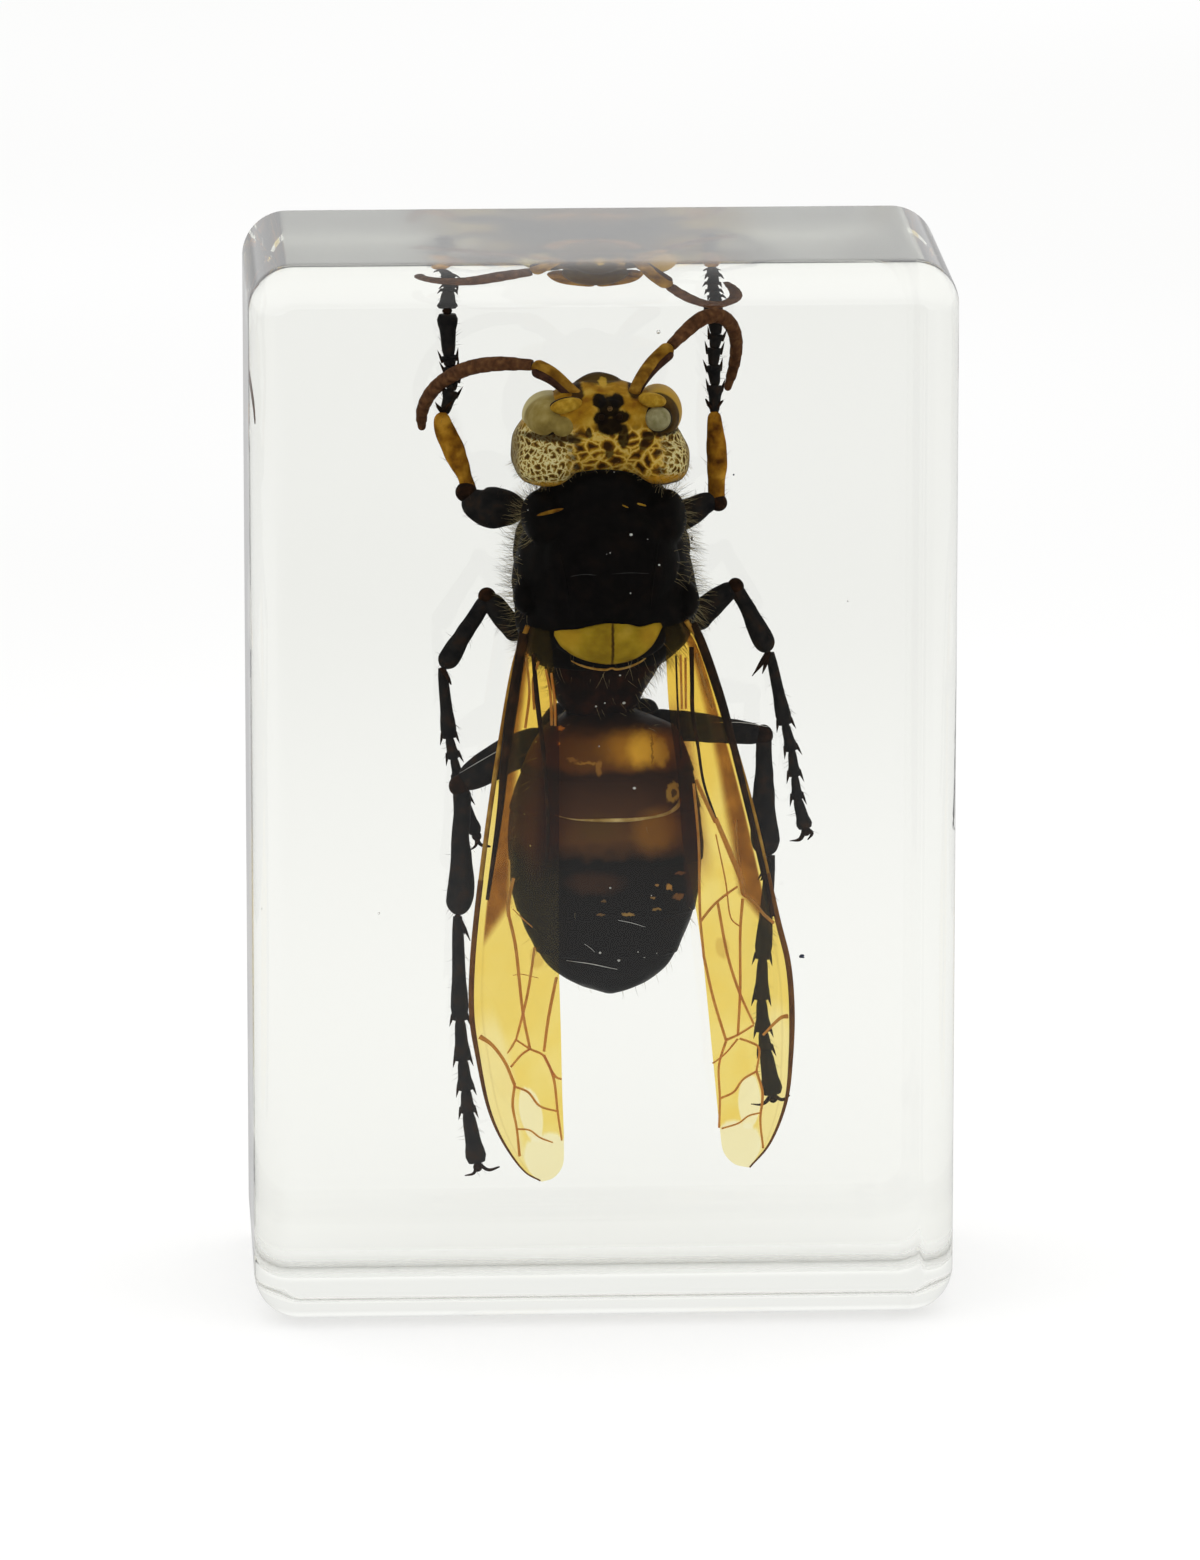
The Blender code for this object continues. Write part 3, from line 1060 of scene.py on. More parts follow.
# Painted shade on the underside of each scape: a second, darker tube, this far in front of and below the
# first.
SCAPE_SHADE_OFFSET = (0, -0.12, -0.24)
FLAGELLA = {
    "left": [
        (-3.85, -0.25, 54.4, 0.3), (-5.64, 0.4, 54.42, 0.41), (-7.35, 2, 54, 0.42), (-8.65, 3.5, 53.2, 0.4),
        (-9.5, 4.7, 52.25, 0.38), (-9.98, 6, 51, 0.33), (-9.97, 7, 49.85, 0.22),
    ],
    "right": [
        (4, 0.8, 55.28, 0.3), (4.9, 1.6, 56.05, 0.4), (5.9, 2.5, 56.7, 0.42), (6.9, 3.4, 56.7, 0.41),
        (7.55, 4.3, 56.1, 0.39), (7.9, 5.2, 55.1, 0.36), (7.85, 6.2, 53.65, 0.32), (7.45, 7, 51.95, 0.2),
    ],
}
RINGS_PER_FEELER = 14


def feelers():
    """Each feeler: its long first segment, then the ringed whip bent outwards."""
    for side in ("left", "right"):
        shells = [
            limb(SCAPES[side], SCAPE, count=36),
            # The scape again, darker, a little in front and below: painted shade on its underside.
            limb(np.array(SCAPES[side]) + (*SCAPE_SHADE_OFFSET, -0.06), SCAPE_UNDERSIDE_SHADE, count=36),
            limb(FLAGELLA[side], BROWN, count=90),
        ]
        core = mesh_of(f"{side}_scape_and_core", shells)
        place(core, "amber_cuticle")
        path = spline(FLAGELLA[side], RINGS_PER_FEELER + 1)
        rows = []
        for start, stop in zip(path, path[1:]):
            overlap = start[:3] + (stop[:3] - start[:3]) * 1.06
            rows.append((start[:3], overlap, (start[3] + stop[3]) / 2 + 0.02))
        rings = grown(
            f"{side}_feeler_rings", seeds("feeler_seeds", rows[:-1]), FEELER_RINGS,
            {"Sides": 18, "Material": BROWN},
        )
        rings.set_sharp_from_angle(angle=math.radians(50))
        place(rings, "amber_cuticle")


feelers()

# ---- Thorax ----

# Rows of (z, left, right, front, back).
THORAX_EDGES = [
    (48.75, 0, 0.7, -1.6, -0.6), (48.5, -1.5, 1.9, -2.6, 1.5), (48, -2.5, 2.7, -3.1, 2.8),
    (47.3, -3.4, 3.5, -3.3, 3.8), (46.1, -4, 4.2, -3.6, 4.5), (45, -4.3, 4.75, -4, 4.9),
    (43.7, -4.74, 5.05, -4.3, 5.2), (42, -5.03, 5.35, -4.4, 5.3), (40.8, -4.9, 5.6, -4.2, 5.3),
    (39.5, -4.85, 5.4, -3.7, 5.1), (38.3, -4.5, 4.9, -3.3, 4.7), (37.6, -4.1, 4.3, -2.9, 4.4),
    (37, -3.5, 3.6, -2.5, 4.2),
]
PROPODEUM_EDGES = [
    (38.2, -3.6, 4.2, -2.4, 4.3), (37.4, -3.4, 3.8, -2.5, 4.2), (36.4, -3, 3.1, -2.3, 3.8),
    (35.6, -2.8, 2.6, -1.9, 3.4), (34.8, -2.45, 2.2, -1.5, 3), (34.2, -1.9, 1.75, -1.1, 2.5),
    (33.8, -1, 1.3, -0.6, 1.9),
]


def thorax():
    """The black back with its wing bases and flanks, and the narrowing piece behind it."""
    mesh = fused(
        "thorax",
        [
            trunk(THORAX_EDGES, BLACK), ball((-3, -1.2, 45.6), (1.5, 2.2, 1.9), BLACK, turn=20),
            ball((3.3, -1.2, 45.4), (1.5, 2.2, 1.9), BLACK, turn=-20),
            ball((0.4, -2, 43), (4, 2.75, 3.9), BLACK), ball((-4.3, -1.4, 41.3), (0.7, 1.3, 1.1), BLACK),
            ball((4.9, -1.4, 40.9), (0.7, 1.3, 1.1), BLACK), ball((0.4, -2.2, 39), (3.3, 1.75, 1.6), BLACK),
            ball((-3, 3, 43.4), (1.9, 2.2, 2.6), BLACK), ball((3.3, 3, 43.2), (1.9, 2.2, 2.6), BLACK),
        ],
        0.11, 4,
    )
    roughened(mesh, 1.3, 0.1, 3)
    place(mesh, "black_cuticle")
    rear = mesh_of("propodeum", [trunk(PROPODEUM_EDGES, MAROON, square=2.2)])
    place(roughened(rear, 0.9, 0.08, 4), "black_cuticle")
    return mesh, rear


thorax_mesh, propodeum_mesh = thorax()
THORAX = Surface(thorax_mesh)
PROPODEUM = Surface(propodeum_mesh)


def scutellum():
    """The yellow plate at the rear of the back: two lobes with a groove between them."""
    columns, rows = 49, 21
    top = spline(
        [
            (-2.6, 0, 39.35), (-1.4, 0, 39.48), (-0.6, 0, 39.7), (0.4, 0, 39.93), (1.3, 0, 39.82),
            (2.1, 0, 39.58), (3.25, 0, 39.82),
        ],
        columns,
    )
    bottom = spline(
        [
            (-2.6, 0, 39.2), (-2.2, 0, 38.6), (-1.3, 0, 38), (-0.3, 0, 37.68), (0.5, 0, 37.6),
            (1.6, 0, 37.82), (2.6, 0, 38.5), (3.3, 0, 39.6),
        ],
        columns,
    )
    points, faces, uvs = [], [], []
    for i in range(columns):
        for j in range(rows):
            share = j / (rows - 1)
            x, _, z = top[i] * (1 - share) + bottom[i] * share
            dome = (1 - (2 * share - 1) ** 4) * (1 - (2 * i / (columns - 1) - 1) ** 6)
            groove = math.exp(-(((x - 0.57) / 0.12) ** 2))
            points.append((x, THORAX.depth(x, z, 0.05 + 0.22 * dome - 0.14 * groove * dome), z))
    for i in range(columns - 1):
        for j in range(rows - 1):
            a = i * rows + j
            faces.append((a, a + 1, a + rows + 1, a + rows))
            left, right = i / (columns - 1), (i + 1) / (columns - 1)
            low, high = j / (rows - 1), (j + 1) / (rows - 1)
            uvs.append(((left, low), (left, high), (right, high), (right, low)))
    mesh = mesh_of("scutellum", [Shell(points, faces, uvs, YELLOW)])
    mesh = baked(mesh, ("SOLIDIFY", {"thickness": 0.3 * MM, "offset": 0.0}))
    face_out(mesh)
    mesh.shade_smooth()
    place(mesh, "amber_cuticle")


scutellum()


def thorax_lines():
    """The gold edge behind the yellow plate and the thin seams of the back: painted highlights along two,
    dark furrows along the others.
    """
    edge = [
        (-1.75, 37.62, 0.03), (-1.2, 37.36, 0.06), (-0.4, 37.14, 0.07), (0.25, 37.08, 0.07),
        (0.56, 37.16, 0.06), (0.85, 37.08, 0.07), (1.6, 37.22, 0.07), (2.2, 37.5, 0.06), (2.5, 37.72, 0.03),
    ]
    draw_lines("gold_edge", [THORAX.drape(edge, 0.12)], GOLD_LINE, "amber_cuticle", 8)
    neck = [
        ball((-2.95, THORAX.depth(-2.95, 46.3), 46.3), (0.78, 0.16, 0.11), SCAPE, turn=14),
        ball((2.2, THORAX.depth(2.2, 46.65), 46.65), (0.32, 0.14, 0.06), OCHRE, turn=-16),
        ball((1.3, THORAX.depth(1.3, 46.6), 46.6), (0.2, 0.1, 0.04), OCHRE, turn=-25),
    ]
    place(mesh_of("neck_edges", neck), "amber_cuticle")
    seams = [
        [(-1.8, 42.72, 0.008), (-1.1, 42.86, 0.014), (-0.4, 42.84, 0.008)],
        [(0.5, 42.9, 0.006), (1.5, 42.95, 0.01), (2.6, 42.85, 0.006)],
        [(-2.6, 44.9, 0.03), (-2, 42, 0.05), (-1.9, 40.4, 0.03)],
        [(3.2, 44.9, 0.03), (2.8, 42, 0.05), (2.7, 40.6, 0.03)],
    ]
    draped = [THORAX.drape(path) for path in seams]
    # Painted highlights along the two seams across the back.
    draw_lines("scutum_highlights", draped[:2], SHEEN_LINE, "black_cuticle")
    draw_lines("scutum_furrows", draped[2:], BLACK, "black_cuticle")


thorax_lines()

# ---- Gaster ----

GASTER_EDGES = [
    (34.5, -0.9, 1.3, -0.6, 2), (34.2, -1.9, 2.3, -1.4, 2.6), (33.5, -2.9, 4, -2.5, 3.6),
    (32.4, -3.8, 4.75, -3.2, 4.3), (31.2, -4.35, 5.15, -3.5, 4.7), (28.7, -5.1, 5.65, -3.75, 4.9),
    (26.5, -5.2, 5.88, -3.75, 4.9), (24.9, -5.15, 5.78, -3.55, 4.8), (23.3, -4.87, 5.5, -3.25, 4.5),
    (21.1, -4.1, 4.78, -2.65, 3.9), (19.1, -2.65, 3.6, -1.7, 3), (18.1, -1, 2.2, -0.7, 2.1),
    (17.75, 0.2, 0.95, 0.25, 1.1),
]
# Heights at which one ring's rear edge overlaps the next ring.
RING_EDGES = (30.75, 28.6, 25.6, 22.6, 20.2)
RING_LIP = 0.09


def ring_step(z):
    """How far the skin stands out at a height: each ring swells to its rear edge, then drops."""
    tops = (34.6, *RING_EDGES)
    for top, edge in zip(tops, RING_EDGES):
        if z > edge:
            return RING_LIP * ((top - z) / (top - edge)) ** 2
    return 0.0


def gaster():
    """The egg-shaped rear body, its rings a little stepped."""
    shell = trunk(GASTER_EDGES, GASTER, count=260, sides=128, ends="even")
    mesh = mesh_of("gaster", [shell])
    normals = [v.normal.copy() for v in mesh.vertices]
    for vertex, normal in zip(mesh.vertices, normals):
        vertex.co += normal * ring_step(vertex.co.z / MM) * MM
    roughened(mesh, 1.6, 0.1, 5)
    place(mesh, "amber_cuticle")
    return mesh


gaster_mesh = gaster()
GASTER_SKIN = Surface(gaster_mesh)


def gaster_lines():
    """The pale rear edge of the second ring, with its bright blotch, and a few scratches."""
    edge = [
        (-2.7, 28.72, 0.02), (-1.6, 28.52, 0.04), (-0.6, 28.5, 0.09), (0.6, 28.5, 0.13), (1.8, 28.5, 0.12),
        (2.9, 28.58, 0.09), (3.8, 28.75, 0.1), (4.3, 29.05, 0.13), (4.5, 29.45, 0.06),
    ]
    draw_lines("pale_ring_edge", [GASTER_SKIN.drape(edge)], PALE_EDGE, "amber_cuticle", 8)
    scratches = [
        [(0.9, 22.55, 0.008), (1.7, 22.35, 0.016), (2.5, 22.05, 0.008)],
        [(-2, 20, 0.008), (-0.6, 19.85, 0.02), (0.9, 19.5, 0.012)],
        [(-1, 21.1, 0.006), (-0.6, 20.8, 0.012), (-0.4, 20.6, 0.006)],
    ]
    draped = [GASTER_SKIN.drape(path, 0.12) for path in scratches]
    draw_lines("pale_fibres", draped, DUST_AND_GLEAM, "bristle")


gaster_lines()

# ---- Wings ----

# Leading and inner edge of each folded wing, root first, as (x, y, z).
WING_EDGES = {
    "left": (
        [
            (-4.2, -2.2, 39.6), (-4.86, -1.8, 37.7), (-5.77, -1.2, 32.55), (-6.7, -0.8, 25.95),
            (-7.34, -0.5, 19.8), (-7.38, -0.3, 16.5), (-7.06, -0.2, 14.25), (-6.37, 0, 10.9),
            (-5.51, 0.1, 8.9), (-4.3, 0.2, 7.2), (-3.45, 0.2, 6.7),
        ],
        [
            (-3, -3, 39.4), (-2.62, -3.5, 36), (-2.5, -4, 33), (-2.5, -4.2, 28), (-2.5, -3.8, 24),
            (-2.48, -3, 21), (-2.42, -2, 18.9), (-2.32, -1.4, 15.9), (-2.22, -0.9, 11.95), (-2.12, -0.5, 9),
            (-2.2, -0.2, 7.6), (-2.7, 0, 6.9), (-3.35, 0.15, 6.65),
        ],
    ),
    "right": (
        [
            (4.8, -2.2, 39.8), (5.8, -1.8, 38.2), (7.07, -1.2, 34.2), (8.63, -0.8, 28.7), (10.15, -0.5, 22),
            (10.73, -0.4, 19.6), (10.97, -0.3, 17), (10.93, -0.1, 13.8), (10.65, 0, 11.2), (9.7, 0.1, 8.7),
            (8.6, 0.2, 7.35),
        ],
        [
            (3.6, -2.8, 39.5), (3.8, -3.3, 35), (4.3, -3.9, 31), (4.6, -4, 27), (5.3, -3.3, 23.5),
            (5.75, -2.6, 20.5), (6.03, -1.9, 17.9), (6.44, -1.2, 13.8), (6.86, -0.6, 9.7), (7.1, -0.2, 8.3),
            (7.7, 0, 7.6), (8.5, 0.15, 7.35),
        ],
    ),
}
# Veins in the front view, as paths of (x, z, radius).
DARK_VEINS = {
    "left": [
        [(-4.4, 39.2, 0.3), (-4.68, 37.5, 0.3), (-5.2, 34, 0.32), (-5.5, 31.7, 0.26)],
        [(-5.5, 31.7, 0.26), (-5.7, 29.4, 0.2), (-6, 27, 0.16), (-6.5, 23.5, 0.1)],
        [(-3.9, 38, 0.12), (-3.66, 35.2, 0.15), (-3.45, 33.4, 0.14), (-3.2, 31, 0.1)],
        [(-3.2, 31, 0.1), (-3.1, 28.2, 0.1), (-3.2, 25.9, 0.06)],
    ],
    "right": [
        [(5.2, 39.6, 0.26), (5.72, 38.4, 0.28), (6.85, 35, 0.28), (7.65, 32, 0.22)],
        [(7.65, 32, 0.22), (8.43, 28.67, 0.18), (9.25, 25.16, 0.17), (9.85, 22.3, 0.14)],
        [(5.1, 38.3, 0.14), (5.14, 36.2, 0.12), (5.16, 34.6, 0.12), (5.45, 32.7, 0.1)],
        [(5.45, 32.7, 0.09), (5.8, 30.45, 0.08), (6.49, 28.34, 0.07)],
        [(4.2, 37.9, 0.06), (4.31, 34.8, 0.06), (4.5, 32, 0.05)],
    ],
}
# The brown veins are drawn this much broader than their radii below.
BROWN_VEIN_BREADTH = 1.35
BROWN_VEINS = {
    "left": [
        [(-4.29, 37.8, 0.05), (-4.12, 35.8, 0.06), (-4.35, 33.7, 0.06)],
        [(-3.6, 37.6, 0.05), (-3.9, 36.5, 0.06), (-3.85, 34.8, 0.05)],
        [(-3.21, 37.2, 0.05), (-2.95, 35.8, 0.06), (-2.88, 34, 0.06)],
        [(-2.9, 37, 0.05), (-2.72, 35.4, 0.06), (-2.68, 34, 0.05)],
        [(-5.03, 24.9, 0.07), (-5.32, 23.43, 0.08), (-5.3, 22.6, 0.08)],
        [(-5.27, 22.6, 0.07), (-4.93, 21, 0.07), (-4.47, 16.82, 0.06), (-4.07, 14.69, 0.06)],
        [(-3.84, 20.87, 0.06), (-4.19, 18.17, 0.06), (-4.47, 16.82, 0.06), (-4.85, 15.25, 0.05)],
        [(-4.85, 15.25, 0.05), (-5.1, 14.8, 0.05), (-5.35, 14.4, 0.03)],
        [(-2.58, 19.04, 0.07), (-3.04, 16.45, 0.07), (-3.27, 14.56, 0.06)],
        [(-4.85, 15.2, 0.04), (-4.07, 14.69, 0.05), (-3.33, 14.33, 0.05), (-2.87, 13.44, 0.05)],
        [(-2.87, 13.44, 0.05), (-2.55, 13, 0.05), (-2.26, 12.9, 0.04)],
        [(-6.94, 15.37, 0.11), (-6.25, 14.89, 0.08), (-5.51, 13.88, 0.07), (-4.94, 12.51, 0.07)],
        [(-4.94, 12.51, 0.06), (-5.05, 11.27, 0.06), (-4.82, 9.91, 0.05), (-4.65, 8.2, 0.06)],
        [(-4.94, 12.4, 0.05), (-4.19, 12.09, 0.05), (-3.5, 11.26, 0.05), (-2.5, 10.95, 0.04)],
        [(-5.16, 13.58, 0.05), (-4.53, 14.34, 0.05), (-4.07, 14.69, 0.05)],
        [(-3.27, 14.33, 0.06), (-2.75, 13.08, 0.06), (-2.47, 10.83, 0.05), (-2.24, 9.2, 0.04)],
        [(-4.77, 9.85, 0.04), (-4.08, 9.78, 0.04), (-3.5, 9.36, 0.04), (-2.75, 9.06, 0.03)],
        [(-5.08, 23.1, 0.02), (-4.55, 22.6, 0.025), (-3.96, 22.1, 0.02)],
        [(-5.05, 19.1, 0.015), (-4.6, 19.2, 0.02), (-3.6, 19, 0.015)],
    ],
    "right": [
        [(4.47, 37.9, 0.05), (4.54, 34.8, 0.05)], [(4.76, 37.7, 0.05), (4.77, 34.8, 0.05)],
        [(5.38, 37.9, 0.05), (5.79, 36.3, 0.06), (6.36, 34.6, 0.05)],
        [(6.49, 28.34, 0.1), (7.3, 26.35, 0.12), (7.99, 24.58, 0.12), (8.11, 23.76, 0.1)],
        [(5.35, 30.69, 0.08), (5.81, 29.63, 0.09), (6.49, 28.11, 0.09)],
        [(6.5, 27.41, 0.03), (7.08, 24.59, 0.035), (7.43, 22.36, 0.035), (7.89, 21.9, 0.03)],
        [(5.65, 22.44, 0.06), (6.51, 23.42, 0.06), (7.76, 24.23, 0.05)],
        [(8.11, 23.76, 0.08), (8.68, 23.29, 0.07), (9.32, 22.46, 0.07), (9.9, 21.9, 0.07)],
        [(7.64, 28.1, 0.05), (7.7, 26.93, 0.05), (7.99, 24.7, 0.05)],
        [(5.2, 30.5, 0.06), (5.5, 27, 0.06), (5.59, 22.85, 0.06), (5.83, 20.26, 0.06)],
        [(5.83, 20.26, 0.06), (6.41, 17.67, 0.06), (7.16, 15.12, 0.06)],
        [(6.62, 23.4, 0.06), (7.21, 20.25, 0.06), (7.9, 18, 0.06), (8.77, 15.99, 0.05)],
        [(8.08, 23.5, 0.07), (7.95, 21.65, 0.06), (7.96, 18, 0.06), (7.85, 15.41, 0.06)],
        [(7.16, 15.12, 0.06), (7.85, 15.41, 0.05), (8.77, 15.93, 0.05)],
        [(6.42, 13.77, 0.04), (7.05, 14.24, 0.04), (7.85, 15.17, 0.05)],
        [(7.97, 15.17, 0.05), (8.54, 14.93, 0.05), (9.06, 14.57, 0.05), (8.95, 13.15, 0.05)],
        [(7.16, 15.06, 0.06), (6.77, 13.65, 0.05), (6.83, 11.64, 0.05), (6.8, 9.86, 0.05)],
        [(6.89, 11.64, 0.05), (7.63, 11.98, 0.05), (8.15, 12.69, 0.05), (8.95, 13.15, 0.05)],
        [(8.95, 13.15, 0.06), (9.3, 11.85, 0.06), (9.19, 10.19, 0.05), (9.37, 8.5, 0.05)],
        [(9.3, 15.3, 0.05), (10.09, 16.09, 0.07), (10.43, 16.32, 0.08), (10.75, 16.35, 0.1)],
        [(6.95, 9.8, 0.04), (7.93, 10.09, 0.04), (8.5, 10.49, 0.04), (9.25, 10.66, 0.04)],
    ],
}
# The leading edge is amber down to this height, then brown and finer to the tip.
BROWN_EDGE_BELOW = 25.0


def wing_grid(side):
    """Rows of points from the wing's root to its tip, each row from leading to inner edge."""
    levels, lanes = 150, 30
    outer, inner = (spline(edge, levels) for edge in WING_EDGES[side])
    share = np.linspace(0, 1, lanes)[None, :, None]
    grid = outer[:, None] * (1 - share) + inner[:, None] * share
    pleat = 0.1 * np.sin(share[..., 0] * 5 * math.pi)
    grid[..., 1] += pleat * (1 - np.linspace(0, 1, levels)[:, None])
    return grid


def wing_rim(side):
    """The leading edge as a vein: amber near the root, brown and ever finer to the tip."""
    path = spline([(*point, 0) for point in WING_EDGES[side][0]], 90)
    amber, brown = [], []
    for row in path:
        if row[2] > BROWN_EDGE_BELOW - 0.4:
            row[3] = 0.15
            amber.append(row.copy())
        if row[2] < BROWN_EDGE_BELOW:
            row[3] = 0.05 + 0.12 * min(1, max(0, (row[2] - 7) / 9))
            brown.append(row)
    return np.array(amber), np.array(brown)


def wing(side):
    """One folded wing: pleated film, then its veins laid on the film."""
    grid = wing_grid(side)
    levels, lanes = grid.shape[:2]
    heights = (grid[0, 0, 2] - grid[..., 2]) / (grid[0, 0, 2] - grid[-1, 0, 2])
    faces, uvs = [], []
    for i in range(levels - 1):
        for j in range(lanes - 1):
            a = i * lanes + j
            faces.append((a, a + 1, a + lanes + 1, a + lanes))
            left, right = j / (lanes - 1), (j + 1) / (lanes - 1)
            near, far = heights[i], heights[i + 1]
            uvs.append(((left, near[j]), (right, near[j + 1]), (right, far[j + 1]), (left, far[j])))
    flat = mesh_of(f"{side}_wing_film", [Shell(grid.reshape(-1, 3), faces, uvs, FILM)])
    film = Surface(flat)
    mesh = baked(flat, ("SOLIDIFY", {"thickness": WING_THICKNESS * MM, "offset": 0.0}))
    mesh.shade_smooth()
    place(mesh, "wing_membrane")
    amber_edge, brown_edge = wing_rim(side)
    brown_veins = [film.drape(path, 0.03) for path in BROWN_VEINS[side]]
    for path in brown_veins:
        path[:, 3] *= BROWN_VEIN_BREADTH
    for name, paths, material in (
        ("dark_veins", [film.drape(path, 0.05) for path in DARK_VEINS[side]], DARK_VEIN),
        ("brown_veins", brown_veins, VEIN), ("edge_vein", [brown_edge], EDGE_VEIN),
        ("leading_vein", [amber_edge], AMBER_VEIN)
    ):
        draw_lines(f"{side}_wing_{name}", paths, material, "wing_membrane", 8)


for side in ("left", "right"):
    wing(side)

# ---- Legs ----

